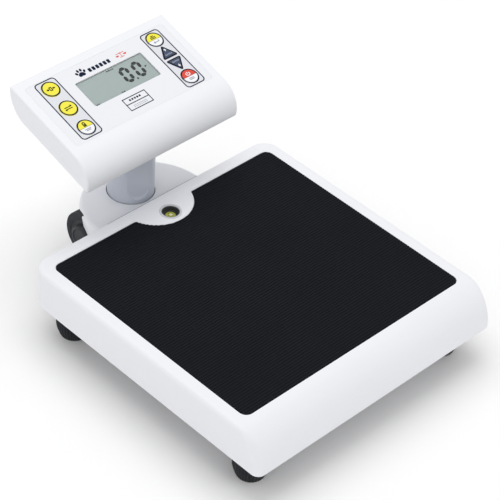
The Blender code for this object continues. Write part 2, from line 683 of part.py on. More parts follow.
def round_corners(corners, radius, grow):
    """A triangle, given anticlockwise, with rounded corners and all sides moved out by grow."""
    points = []
    middle = [sum(axis) / 3 for axis in zip(*corners)]
    for number, corner in enumerate(corners):
        before, after = corners[number - 1], corners[(number + 1) % 3]
        start = math.atan2(corner[1] - before[1], corner[0] - before[0]) - math.pi / 2
        stop = math.atan2(after[1] - corner[1], after[0] - corner[0]) - math.pi / 2
        while stop < start:
            stop += 2 * math.pi
        half = (math.pi - (stop - start)) / 2
        reach = radius / math.sin(half)
        away = math.dist(corner, middle)
        centre = [c + (m - c) * reach / away for c, m in zip(corner, middle)]
        points += arc(centre, radius + grow, math.degrees(start), math.degrees(stop), 4)
    return points


def rear_cover(frame):
    inset = HEAD_WALL + GAP
    outline = rounded_box(-HEAD_HALF + inset, HEAD_HALF - inset, HEAD_FRONT + inset, 0.0217, 0.002, 0.002, 2)
    cover = plate("head_rear_cover", outline, -HEAD_THICK, -HEAD_THICK + 0.0022, "white_shell", parent=frame)
    low, high = battery_bay(0.0004)
    boolean(cover, box("cut_battery_bay", (low[0], low[1], -0.04), (high[0], high[1], -0.02), parent=frame))
    low, high = battery_bay(0)
    hinge = add_empty("door_pivot", (0, high[1], -HEAD_THICK), parent=frame)
    box("battery_door", (low[0], low[1] - high[1], 0), (high[0], 0, 0.0018), "white_shell", parent=hinge)


def battery_bay(grow):
    """The low and high (x, slope) corners of the battery opening."""
    half_x = CELL_PITCH * 2 + 0.0010 + grow
    half_u = CELL_LENGTH / 2 + 0.0008 + grow
    return (CELLS_X - half_x, CELLS_U - half_u), (CELLS_X + half_x, CELLS_U + half_u)


def face(frame):
    outline = rounded_box(-OVERLAY_HALF, OVERLAY_HALF, *OVERLAY, 0.004, 0.004, 3)
    overlay = plate("face_overlay", outline, -0.0005, 0, "overlay", parent=frame)
    boolean(overlay, plate("cut_overlay_window", window_outline(0), -0.01, 0.01, parent=frame))
    for name, key in key_outlines(GAP).items():
        boolean(overlay, plate(f"cut_overlay_{name}", key, -0.01, 0.01, parent=frame))
    plate("lcd_window", window_outline(GAP), -0.0011, -0.0001, "clear_window", parent=frame)
    x0, x1, u0, u1 = WINDOW
    box("lcd_panel", (x0 + 0.0008, u0 + 0.0008, -0.0034), (x1 - 0.0008, u1 - 0.0008, -0.0014),
        "lcd_glass", parent=frame)


def inside_head(frame):
    box("main_board", (-0.0840, -0.0385, -0.0056), (0.0840, 0.0385, -0.0040), "circuit_board", parent=frame)
    low, high = battery_bay(0)
    wall = 0.0012
    inner = (low[0] - wall, low[1] - wall, -0.0240), (high[0] + wall, high[1] + wall, -0.0066)
    tray = box("battery_box", *inner, "dark_plastic", parent=frame)
    boolean(tray, box("cut_battery_box", (low[0], low[1], -0.03), (high[0], high[1], -0.0078), parent=frame))
    for number in range(4):
        x = CELLS_X + (number - 1.5) * CELL_PITCH
        half = CELL_LENGTH / 2
        way = 1 if number % 2 else -1
        turned(f"battery_cell_{number + 1}", [
            (0, half), (0.0027, half), (0.0027, half - 0.001), (CELL_RADIUS, half - 0.001),
            (CELL_RADIUS, -half), (0, -half),
        ], "cell_wrap", steps=12, parent=frame, location=(x, CELLS_U, -0.0153),
            rotation=(way * math.pi / 2, 0, 0))


def tilt_bracket(frame, pivot):
    slope, height = pin_in_head()
    under = -HEAD_THICK - GAP
    bracket = box("tilt_bracket", (-0.0200, slope - 0.0140, under - 0.0020), (0.0200, slope + 0.0140, under),
                  "steel", parent=frame)
    ear = arc((slope, height), EAR_RADIUS, 180, 360, 12)
    ear += [(slope + EAR_RADIUS, under - 0.001), (slope - EAR_RADIUS, under - 0.001)]
    for side, sign in SIDES.items():
        flank = side_plate(f"add_ear_{side}", ear, 0.0015, parent=frame, location=(sign * 0.0119, 0, 0))
        boolean(bracket, flank, "UNION")
    boolean(bracket, rod("cut_ears", PIN_RADIUS + GAP, -0.03, 0.03, rotation=ALONG_X, steps=20,
                         parent=pivot))
    rod("tilt_pin", PIN_RADIUS, -0.0150, 0.0150, "steel", rotation=ALONG_X, steps=20, parent=pivot)


def keys(frame):
    places = dict(ROUND_KEYS)
    places.update({name: (x, slope) for name, (x, slope, _) in ARROW_KEYS.items()})
    for name, outline in key_outlines(0).items():
        x, slope = places[name]
        local = [(px - x, py - slope) for px, py in outline]
        finish = "key_navy" if name in ARROW_KEYS else "key_yellow"
        if name == "key_right_lower":
            finish = "key_red"
        key = plate(name, local, KEY_PROUD - KEY_THICK, KEY_PROUD, finish, parent=frame,
                    location=(x, slope, 0))
        bevel(key, 0.0003, 1, 60)


clear_scene()
PARTS = make_collection("floor_scale")
CUTTERS = make_collection("cutters")
make_materials()
platform_cover()
deck_mat()
deck_frame()
base_tray()
spirit_level()
load_cells()
feet()
junction_board()
neck_housing()
rear_bracket()
wheels()
column()
head_parts()
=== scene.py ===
"""Floor scale with a swivelling, tilting display head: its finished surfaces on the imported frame.

Metres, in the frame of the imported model: +Z up, +X to the right of a user who reads the display.
"""
import math

import bmesh
import bpy
from mathutils import Matrix, Vector


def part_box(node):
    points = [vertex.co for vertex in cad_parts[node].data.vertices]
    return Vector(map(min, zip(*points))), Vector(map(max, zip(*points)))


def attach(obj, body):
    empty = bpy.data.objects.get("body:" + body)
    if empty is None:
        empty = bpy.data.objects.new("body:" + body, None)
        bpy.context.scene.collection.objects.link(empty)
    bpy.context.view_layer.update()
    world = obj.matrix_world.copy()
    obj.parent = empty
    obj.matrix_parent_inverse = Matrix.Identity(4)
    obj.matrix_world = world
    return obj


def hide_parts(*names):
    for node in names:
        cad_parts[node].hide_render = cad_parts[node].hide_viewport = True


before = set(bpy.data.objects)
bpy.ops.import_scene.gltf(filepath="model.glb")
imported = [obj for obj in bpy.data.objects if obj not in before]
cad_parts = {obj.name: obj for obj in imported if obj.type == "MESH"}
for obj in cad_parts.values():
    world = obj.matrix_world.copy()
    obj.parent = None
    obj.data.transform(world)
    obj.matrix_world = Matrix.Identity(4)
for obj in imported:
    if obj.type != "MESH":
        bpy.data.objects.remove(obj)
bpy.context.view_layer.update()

MM = 0.001
WELD = 0.000004             # points closer than this are one point
FEET = ("front_left", "front_right", "rear_left", "rear_right")
SIDES = {"left": -1, "right": 1}

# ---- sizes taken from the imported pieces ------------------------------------
COVER_LOW, COVER_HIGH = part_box("platform_cover")
HALF_WIDTH = COVER_HIGH.x
FRONT_Y, BACK_Y = COVER_LOW.y, COVER_HIGH.y
DECK_Z, SKIRT_Z = COVER_HIGH.z, COVER_LOW.z
MAT_LOW, MAT_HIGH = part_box("deck_mat")
CUP_LOW, CUP_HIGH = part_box("level_cup")
LEVEL_Y = (CUP_LOW.y + CUP_HIGH.y) / 2
LEVEL_RADIUS = CUP_HIGH.x
HOUSING_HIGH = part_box("neck_housing")[1]
HOUSING_RADIUS = HOUSING_HIGH.x
HOUSING_Y = HOUSING_HIGH.y - HOUSING_RADIUS
TYRE_LOW, TYRE_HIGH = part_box("wheel_tyre_right")
WHEEL_Y = (TYRE_LOW.y + TYRE_HIGH.y) / 2
WHEEL_Z = (TYRE_LOW.z + TYRE_HIGH.z) / 2
WHEEL_RADIUS = (TYRE_HIGH.z - TYRE_LOW.z) / 2
HUB_LOW, HUB_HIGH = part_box("wheel_hub_right")
HUB_RADIUS = (HUB_HIGH.z - HUB_LOW.z) / 2
BOSS_OUTER = HUB_HIGH.x
AXLE_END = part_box("wheel_axle")[1].x
COLUMN_LOW, COLUMN_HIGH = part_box("column_tube")
COLUMN_RADIUS = COLUMN_HIGH.x
COLUMN_Y = COLUMN_HIGH.y - COLUMN_RADIUS

# ---- sizes of the surfaces -------------------------------------------------
GAP = 0.3 * MM
PAST = 5 * MM               # how far a cutting shape stands past the deck
THROUGH = 10 * MM           # the same for the head and the column
NOSE_DEPTH = 33.1 * MM      # front roll of the cover, front to back
EDGE_ROUND = 4.5 * MM       # rounded edge between deck and side walls
REAR_EDGE = 1.3 * MM        # tighter edge along the back, beside the housing
FRONT_CORNER = 8 * MM
REAR_CORNER = 18 * MM
COVER_WALL = 3 * MM
MAT_CORNER = 8 * MM
MAT_RECESS = 1.4 * MM
NOTCH_Y = 101.5 * MM        # middle of the round notch in the mat's rear edge
NOTCH_RADIUS = 37.7 * MM
NOTCH_ROUND = 2 * MM
RIB_PITCH = 3 * MM
RIB_HEIGHT = 0.55 * MM
RIB_SOFT = 0.12 * MM        # how much lower the shoulders of a rib are than its top
RIB_LEAD = 0.6              # where the first rib starts, in pitches before the mat's front edge
SLOT_HALF = 36.5 * MM       # slot in the cover's back wall for the bracket's plate
SLOT_LOW, SLOT_HIGH = 55.5 * MM, 59.5 * MM
SLOT_REACH = 20 * MM

WELL_DEPTH = 12 * MM        # hole in the deck for the spirit level
CUP_WALL, CUP_RIM, CUP_FLOOR, CUP_LEDGE = 3.2 * MM, 1 * MM, 1 * MM, 4.4 * MM
VIAL_GAP, VIAL_DROP = 0.2 * MM, -3.2 * MM
FLUID_TOP, FLUID_FOOT, DOME_FALL = 0.5 * MM, 6 * MM, 0.9 * MM
EYE_SHARE = 0.42            # radius of the ring round the bubble, as a share of the vial's
EYE_LINE = 0.35 * MM
# sections in millimetres: outwards from the cup and up from the deck; share of the ring's radius and down
BEZEL_SECTION = ((0.1, -0.2), (0.25, 0.3), (0.8, 0.5), (2.1, 0.5), (2.4, 0.3), (2.5, -0.05))
BUBBLE_SECTION = ((0, 0.33), (0.5, 0.36), (0.8, 0.45), (0.86, 0.62), (0.7, 0.80), (0, 0.80))

PAD_EYE = 1 * MM
PAD_SOCKET = 9.5 * MM       # floor of the hole that the stud stands in
PAD_TEETH = 34
# in millimetres: inwards from the rim, up from the sole, depth of the scallops
PAD_SIDE = ((4.6, 0, 0), (3.8, 0.5, 0.3), (2.7, 3, 0.6), (1.4, 7, 0.9), (0.3, 11, 0.9), (0, 13, 0.9))
# the same, but down from the top
PAD_SHOULDER = ((0, 3, 0.9), (0.7, 1, 0.9), (2.4, 0, 0.2))
THREAD_PITCH, THREAD_DEPTH, THREAD_END = 1.25 * MM, 0.6 * MM, 0.8 * MM

HOUSING_TAPER = 3 * MM      # how much narrower the housing is at its foot
HOUSING_WALL = 2.5 * MM
HOUSING_SHOULDER = 5 * MM
FAR = 0.1                   # well past the whole part
SEAL_SHORT = 8.5 * MM       # how far the deck's seal ends short of the housing's radius
SEAL_NEAR, SEAL_FAR = 0.1 * MM, 0.8 * MM
SEAL_SUNK, SEAL_BELOW = 0.8 * MM, 0.9 * MM
SEAL_EDGE = 0.15 * MM

WHEEL_SLOT_INNER, WHEEL_SLOT_OUTER, WHEEL_SLOT_ROUND = 1 * MM, 0.5 * MM, 1.2 * MM
TYRE_CROWN = 1.0 * MM
GROOVES = 4
GROOVE_DEPTH, GROOVE_MOUTH, GROOVE_FLOOR = 0.5 * MM, 0.9 * MM, 0.4 * MM
RIM_LIP, RIM_STEP = 2.2 * MM, 0.4 * MM
HUB_BORE = 4.4 * MM
HUB_SUNK, HUB_DISH = 0.6 * MM, 0.5 * MM
HUB_BACK = 1 * MM
BOSS_RADIUS = 13.2 * MM
BOSS_EYE = 14 * MM          # opening in the housing round the wheel's boss
BOSS_ROOT = 2.6 * MM
BOSS_FLUTES, BOSS_FLUTE = 16, 0.6 * MM
BOSS_PIN = 1 * MM
# in millimetres: inwards from the boss, back from its outer end, depth of the flutes
BOSS_CROWN = ((0, 2.2, 0.6), (0.4, 1, 0.5), (1.8, 0.1, 0), (3.5, 0, 0), (4.1, 0.7, 0))

SPIGOT_RADIUS, SPIGOT_LENGTH = 12 * MM, 9.6 * MM
COLUMN_EDGE = 0.6 * MM
COLUMN_GAP = 0.8 * MM       # between the column and the edge of its hole in the housing
RING_INNER, RING_OUTER = 0.1 * MM, 0.7 * MM     # the column's seal, outwards from the column
RING_ROOT, RING_SUNK = 2.5 * MM, 0.4 * MM       # and down from the housing's top

RECESS_TURN = math.radians(-20)     # the column's grip recess, turned towards -X from straight ahead
RECESS_FLOOR = 20 * MM
RECESS_HALF = 12.2 * MM
RECESS_RISE = 5.5 * MM
# in millimetres: outwards from the panel, inwards from its outline
RECESS_WALL = ((0, 0.9), (0.3, 0.35), (0.9, 0), (2.0, -0.4), (3.2, -1.4), (20, -1.4))

HEAD_TILT = math.radians(15.9)
HEAD_HALF = 94.8 * MM
HEAD_THICK = 27 * MM
HEAD_BACK, HEAD_ROLL, HEAD_FRONT = 49.5 * MM, -46 * MM, -73.7 * MM
HEAD_EDGE = 2.2 * MM
HEAD_WALL = 2.5 * MM
HOLLOW_TOP = 3.2 * MM
FILM_THICK, FILM_RECESS, FILM_CORNER, FILM_EDGE = 0.5 * MM, 0.8 * MM, 4 * MM, 0.05 * MM
WINDOW_CORNER = 2 * MM
HEEL_START = 22 * MM
HEEL_POWER = 1.75
BELLY_ROUND = 1.6 * MM      # rounding of the head's lower front edge
CREST_ROUND = 2 * MM        # rounding of the head's upper back edge

KEY_RADIUS = 9.2 * MM
KEY_THICK = 3 * MM
KEY_PROUD = 0.5 * MM
SNUG = 0.22 * MM            # how far the film fills the gap round it
INK = 0.05 * MM             # thickness of a printed layer
OUTLINE_WIDTH = 1.15 * MM
LABEL_LINE = 0.95 * MM
RIM_WIDTH = 1.3 * MM
ICON_STROKE = 0.95 * MM
ROUND_KEYS = {
    "key_left_upper": (-63.1 * MM, 27.0 * MM),
    "key_left_middle": (-63.1 * MM, 0.5 * MM),
    "key_left_lower": (-63.1 * MM, -26.1 * MM),
    "key_right_upper": (65.7 * MM, 26.1 * MM),
    "key_right_lower": (65.7 * MM, -27.1 * MM),
}
ARROW_KEYS = {"key_up": (65.8 * MM, 9.0 * MM, 1), "key_down": (65.8 * MM, -9.6 * MM, -1)}
ARROW_HALF, ARROW_HEIGHT, ARROW_ROUND = 9 * MM, 16 * MM, 1.2 * MM
WINDOW = (-39.1 * MM, 43.0 * MM, -11.0 * MM, 21.0 * MM)
OVERLAY = (-85.2 * MM, 85.2 * MM, -39.5 * MM, 39.1 * MM)
STRIPS = {"left": (-75.7 * MM, -50.9 * MM, -37.6 * MM, 38.5 * MM),
          "right": (54.0 * MM, 77.4 * MM, -38.4 * MM, 37.2 * MM)}
STRIP_CORNER, STRIP_CLEAR, STRIP_INSET = 4.2 * MM, 1.1 * MM, 1.2 * MM
LABEL = (-12.8 * MM, 15.3 * MM, -32.7 * MM, -17.3 * MM)
LABEL_CORNER = 0.3 * MM
GLASS_TOP = -1.4 * MM       # upper side of the display glass, below the face
DIGIT_WIDTH, DIGIT_HEIGHT, DIGIT_STROKE, DIGIT_LEAN = 10.8 * MM, 19.4 * MM, 3.5 * MM, 0.03
DIGIT_FOOT = -3.8 * MM
DIGIT_STARTS = (7.7 * MM, 22.8 * MM)
POINT = (20.5 * MM, -2.9 * MM, 1.9 * MM, 1.9 * MM)

CELL_PITCH, CELL_LENGTH = 14.6 * MM, 50.5 * MM
HATCH_X, HATCH_U = 57 * MM, -5.8 * MM           # middle of the battery opening
HATCH_CORNER, HATCH_THICK, HATCH_EDGE, HATCH_GAP = 1.2 * MM, 1.8 * MM, 0.4 * MM, 0.4 * MM
BACK_PLATE_END, BACK_PLATE_THICK, BACK_PLATE_EDGE = 21.7 * MM, 2.2 * MM, 0.5 * MM
GRIP_RIBS, GRIP_PITCH, GRIP_WIDTH, GRIP_HALF = 5, 1.6 * MM, 0.8 * MM, 7 * MM
HEAD_SCREWS = ((-84 * MM, -62 * MM), (84 * MM, -62 * MM), (-84 * MM, 14 * MM), (84 * MM, 14 * MM))
HEAD_SCREW_RADIUS, HEAD_SCREW_HEIGHT = 2.7 * MM, 1.0 * MM
SCREW_WELL, SCREW_WELL_DEPTH = 3.4 * MM, 1.2 * MM

FLAT = Matrix.Identity(4)


# ---- outlines --------------------------------------------------------------
def arc(centre, radius, start, stop, steps):
    """Points on an arc, angles in degrees, both ends included."""
    angles = [math.radians(start + (stop - start) * i / steps) for i in range(steps + 1)]
    return [(centre[0] + radius * math.cos(a), centre[1] + radius * math.sin(a)) for a in angles]


def circle(centre, radius, steps=48):
    return arc(centre, radius, 0, 360, steps)[:-1]


def quarter(centre, across, up, start, stop, power, steps):
    """A stretch of superellipse; angles in degrees choose the quadrant."""
    points = []
    for i in range(steps + 1):
        angle = math.radians(start + (stop - start) * i / steps)
        c, s = math.cos(angle), math.sin(angle)
        points.append((centre[0] + across * math.copysign(abs(c) ** (2 / power), c),
                       centre[1] + up * math.copysign(abs(s) ** (2 / power), s)))
    return points


def rounded_box(x0, x1, y0, y1, radius, steps=8):
    """A rectangle with rounded corners, anticlockwise."""
    return (arc((x1 - radius, y0 + radius), radius, -90, 0, steps)
            + arc((x1 - radius, y1 - radius), radius, 0, 90, steps)
            + arc((x0 + radius, y1 - radius), radius, 90, 180, steps)
            + arc((x0 + radius, y0 + radius), radius, 180, 270, steps))


def rounded(points, radius, steps=4, closed=True):
    """The same outline with its corners turned into arcs."""
    made = []
    for i, corner in enumerate(points):
        here = Vector(corner)
        before = Vector(points[i - 1]) - here
        after = Vector(points[(i + 1) % len(points)]) - here
        at_end = not closed and i in (0, len(points) - 1)
        if at_end or min(before.length, after.length) < WELD or before.angle(after) > math.radians(172):
            made.append(corner)
            continue
        half = before.angle(after) / 2
        reach = min(radius / math.tan(half), 0.48 * before.length, 0.48 * after.length)
        swing = reach * math.tan(half)
        middle = here + (before.normalized() + after.normalized()).normalized() * swing / math.sin(half)
        first = here + before.normalized() * reach - middle
        last = here + after.normalized() * reach - middle
        for k in range(steps + 1):
            way = first.lerp(last, k / steps).normalized()
            made.append(tuple(middle + way * swing))
    return made


def inset(outline, distance):
    """A closed anticlockwise outline moved inwards; edges too short for the move shrink to nothing."""
    count = len(outline)
    points = [Vector(point) for point in outline]
    ways = [points[(i + 1) % count] - points[i] for i in range(count)]
    kept = [i for i in range(count) if ways[i].length > WELD]
    normals = [Vector((-way.y, way.x)).normalized() for way in ways]

    def meeting(first, second):
        """Where two neighbouring edges meet once both have moved."""
        a, b = normals[first], normals[second]
        turn = a.x * b.y - a.y * b.x
        if abs(turn) < 1e-5:
            return points[second] + b * distance
        reach_a = a.dot(points[first]) + distance
        reach_b = b.dot(points[second]) + distance
        return Vector(((reach_a * b.y - reach_b * a.y) / turn, (a.x * reach_b - b.x * reach_a) / turn))

    while True:
        corners = [meeting(kept[k - 1], kept[k]) for k in range(len(kept))]
        runs = [(corners[(k + 1) % len(kept)] - corners[k]).dot(ways[edge].normalized())
                for k, edge in enumerate(kept)]
        shortest = min(range(len(kept)), key=lambda k: runs[k])
        if runs[shortest] > -WELD / 10 or len(kept) < 4:
            break
        del kept[shortest]
    starts = dict(zip(kept, corners))
    moved_points = []
    for i in range(count):
        edge = i
        while edge % count not in starts:
            edge += 1
        moved_points.append(tuple(starts[edge % count]))
    return moved_points


def ribbon(points, width):
    """The outline of a stroke with round ends along a few points."""
    left, right = [], []
    for i, point in enumerate(points):
        here = Vector(point)
        before = (here - Vector(points[i - 1])).normalized() if i else None
        after = (Vector(points[i + 1]) - here).normalized() if i < len(points) - 1 else None
        first, second = before or after, after or before
        side_a, side_b = Vector((-first.y, first.x)), Vector((-second.y, second.x))
        way = (side_a + side_b) * (width / 2) / (1 + side_a.dot(side_b))
        left.append(tuple(here + way))
        right.append(tuple(here - way))
    outline = right + left[::-1]
    return rounded(outline, width * 0.45, 3)


# ---- meshes ----------------------------------------------------------------
def mesh_from(name, points, faces):
    """A clean mesh: points welded, empty faces dropped, faces turned outwards."""
    mesh = bpy.data.meshes.new(name)
    mesh.from_pydata(points, [], faces)
    shape = bmesh.new()
    shape.from_mesh(mesh)
    bmesh.ops.remove_doubles(shape, verts=shape.verts, dist=WELD)
    bmesh.ops.dissolve_degenerate(shape, edges=shape.edges, dist=WELD / 2)
    bmesh.ops.recalc_face_normals(shape, faces=shape.faces)
    shape.to_mesh(mesh)
    shape.free()
    return mesh


def rings_mesh(name, rings, closed=False):
    """Loops of equal length joined one to the next; the end loops are capped unless it closes on itself."""
    count = len(rings[0])
    points = [point for ring in rings for point in ring]
    faces = []
    for r in range(len(rings) if closed else len(rings) - 1):
        low, high = r * count, ((r + 1) % len(rings)) * count
        for k in range(count):
            faces.append((low + k, low + (k + 1) % count, high + (k + 1) % count, high + k))
    if not closed:
        faces.append(tuple(reversed(range(count))))
        faces.append(tuple(range(len(points) - count, len(points))))
    return mesh_from(name, points, faces)


def turned(name, profile, steps=96, closed=False):
    """A (radius, height) profile turned about Z."""
    turns = [(math.cos(2 * math.pi * k / steps), math.sin(2 * math.pi * k / steps)) for k in range(steps)]
    rings = [[(radius * c, radius * s, height) for c, s in turns] for radius, height in profile]
    return rings_mesh(name, rings, closed)


def fluted(name, levels, teeth, per_tooth=6):
    """Like turned, with (radius, height, flute depth) levels whose wall is scalloped."""
    steps = teeth * per_tooth
    rings = []
    for radius, height, depth in levels:
        ring = []
        for k in range(steps):
            angle = 2 * math.pi * k / steps
            dip = abs(math.sin(teeth * angle / 2)) ** 0.7
            reach = radius - depth * (1 - dip)
            ring.append((reach * math.cos(angle), reach * math.sin(angle), height))
        rings.append(ring)
    return rings_mesh(name, rings)


def slab(name, outline, levels):
    """An outline stacked through (height, inset) levels."""
    rings = [[(x, y, height) for x, y in (inset(outline, depth) if depth else outline)]
             for height, depth in levels]
    return rings_mesh(name, rings)


def plate(name, outline, low, high, edge=0.0):
    """A flat plate whose upper edge is rounded by edge."""
    levels = [(low, 0)]
    steps = 3 if edge else 0
    for i in range(steps + 1):
        angle = math.pi / 2 * i / max(steps, 1)
        levels.append((high - edge * (1 - math.sin(angle)), edge * (1 - math.cos(angle))))
    return slab(name, outline, levels)


def border(name, outline, width, low, high):
    """A flat frame of one width that follows an outline on its inside."""
    inner = inset(outline, width)
    rings = [[(x, y, low) for x, y in outline], [(x, y, high) for x, y in outline],
             [(x, y, high) for x, y in inner], [(x, y, low) for x, y in inner]]
    return rings_mesh(name, rings, closed=True)


def block(low, high, edge=0.0, segments=2):
    """A box between two corners with rounded edges."""
    mesh = bpy.data.meshes.new("block")
    shape = bmesh.new()
    bmesh.ops.create_cube(shape, size=1)
    size = [b - a for a, b in zip(low, high)]
    middle = [(a + b) / 2 for a, b in zip(low, high)]
    bmesh.ops.scale(shape, vec=size, verts=shape.verts)
    bmesh.ops.translate(shape, vec=middle, verts=shape.verts)
    if edge:
        bmesh.ops.bevel(shape, geom=shape.edges, offset=edge, segments=segments, profile=0.5, affect="EDGES")
    shape.to_mesh(mesh)
    shape.free()
    return mesh


def moved(mesh, matrix):
    mesh.transform(matrix)
    return mesh


def shift(x, y, z):
    return Matrix.Translation((x, y, z))


def joined(name, parts):
    """One mesh from (mesh, material) parts, each part keeping its own material."""
    finishes = []
    shape = bmesh.new()
    for mesh, finish in parts:
        if finish not in finishes:
            finishes.append(finish)
        start = len(shape.faces)
        shape.from_mesh(mesh)
        shape.faces.ensure_lookup_table()
        for face in shape.faces[start:]:
            face.material_index = finishes.index(finish)
    whole = bpy.data.meshes.new(name)
    shape.to_mesh(whole)
    shape.free()
    for finish in finishes:
        whole.materials.append(finish)
    return whole


def carve(mesh, tools, operation="DIFFERENCE"):
    """The mesh with each tool cut from it, or joined or kept in common."""
    scene = bpy.context.scene.collection
    blank = bpy.data.objects.new("blank", mesh)
    scene.objects.link(blank)
    cutters = []
    for tool in tools:
        cutter = bpy.data.objects.new("cutter", tool)
        scene.objects.link(cutter)
        cutters.append(cutter)
        modifier = blank.modifiers.new("cut", "BOOLEAN")
        modifier.operation = operation
        modifier.solver = "EXACT"
        modifier.object = cutter
    return baked(blank, cutters)


def thickened(mesh, wall):
    """A skin given a wall on its inner side."""
    blank = bpy.data.objects.new("blank", mesh)
    bpy.context.scene.collection.objects.link(blank)
    modifier = blank.modifiers.new("wall", "SOLIDIFY")
    modifier.thickness = wall
    modifier.offset = -1
    modifier.use_even_offset = True
    return baked(blank, [])


def baked(blank, helpers):
    graph = bpy.context.evaluated_depsgraph_get()
    result = bpy.data.meshes.new_from_object(blank.evaluated_get(graph))
    for item in [blank] + helpers:
        bpy.data.objects.remove(item)
    return result


def add_piece(name, mesh, finish, body, place=FLAT, crease=32, replaces=()):
    """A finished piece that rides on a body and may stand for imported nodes."""
    item = bpy.data.objects.new(name, mesh)
    bpy.context.scene.collection.objects.link(item)
    item.matrix_world = place
    if finish is not None:
        mesh.materials.clear()
        mesh.materials.append(finish)
    mesh.shade_smooth()
    mesh.set_sharp_from_angle(angle=math.radians(crease))
    shading = item.modifiers.new("even_shading", "WEIGHTED_NORMAL")
    shading.keep_sharp = True
    if replaces:
        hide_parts(*replaces)
    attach(item, body)
    return item


# ---- shared surface effects ------------------------------------------------
def new_group(name, inputs, outputs):
    """An empty node group with its named sockets, and the nodes where its values enter and leave."""
    group = bpy.data.node_groups.new(name, "ShaderNodeTree")
    for socket, kind, value in inputs:
        made = group.interface.new_socket(name=socket, in_out="INPUT", socket_type=kind)
        made.default_value = value
    for socket, kind in outputs:
        group.interface.new_socket(name=socket, in_out="OUTPUT", socket_type=kind)
    entry = group.nodes.new("NodeGroupInput")
    leave = group.nodes.new("NodeGroupOutput")
    return group, entry, leave


def node(tree, kind, **settings):
    made = tree.nodes.new(kind)
    for key, value in settings.items():
        if key in made.inputs:
            made.inputs[key].default_value = value
        else:
            setattr(made, key, value)
    return made


def surface_grain_group():
    """Fine moulded grain: bump, with a slow drift of brightness and gloss."""
    group, entry, leave = new_group("surface_grain", [
        ("Colour", "NodeSocketColor", (0.8, 0.8, 0.8, 1)),
        ("Drift", "NodeSocketFloat", 0.03),
        ("Roughness", "NodeSocketFloat", 0.4),
        ("Roughness Drift", "NodeSocketFloat", 0.08),
        ("Grain Scale", "NodeSocketFloat", 1500.0),
        ("Grain Depth", "NodeSocketFloat", 0.00002),
        ("Drift Scale", "NodeSocketFloat", 14.0),
    ], [("Colour", "NodeSocketColor"), ("Roughness", "NodeSocketFloat"), ("Normal", "NodeSocketVector")])
    link = group.links.new
    place = node(group, "ShaderNodeTexCoord")
    grain = node(group, "ShaderNodeTexNoise", Detail=2.0, Roughness=0.6)
    link(place.outputs["Object"], grain.inputs["Vector"])
    link(entry.outputs["Grain Scale"], grain.inputs["Scale"])
    bump = node(group, "ShaderNodeBump", Strength=1.0)
    link(entry.outputs["Grain Depth"], bump.inputs["Distance"])
    link(grain.outputs["Fac"], bump.inputs["Height"])
    slow = node(group, "ShaderNodeTexNoise", Detail=4.0, Roughness=0.55)
    link(place.outputs["Object"], slow.inputs["Vector"])
    link(entry.outputs["Drift Scale"], slow.inputs["Scale"])
    spread = node(group, "ShaderNodeMapRange")
    spread.inputs["From Min"].default_value = 0.3
    spread.inputs["From Max"].default_value = 0.7
    spread.inputs["To Min"].default_value = -1.0
    spread.inputs["To Max"].default_value = 1.0
    link(slow.outputs["Fac"], spread.inputs["Value"])
    tint = node(group, "ShaderNodeMath", operation="MULTIPLY")
    link(spread.outputs["Result"], tint.inputs[0])
    link(entry.outputs["Drift"], tint.inputs[1])
    level = node(group, "ShaderNodeMath", operation="ADD")
    level.inputs[1].default_value = 1.0
    link(tint.outputs[0], level.inputs[0])
    shade = node(group, "ShaderNodeVectorMath", operation="SCALE")
    link(entry.outputs["Colour"], shade.inputs[0])
    link(level.outputs[0], shade.inputs["Scale"])
    gloss = node(group, "ShaderNodeMath", operation="MULTIPLY_ADD")
    link(spread.outputs["Result"], gloss.inputs[0])
    link(entry.outputs["Roughness Drift"], gloss.inputs[1])
    link(entry.outputs["Roughness"], gloss.inputs[2])
    link(shade.outputs[0], leave.inputs["Colour"])
    link(gloss.outputs[0], leave.inputs["Roughness"])
    link(bump.outputs["Normal"], leave.inputs["Normal"])
    return group


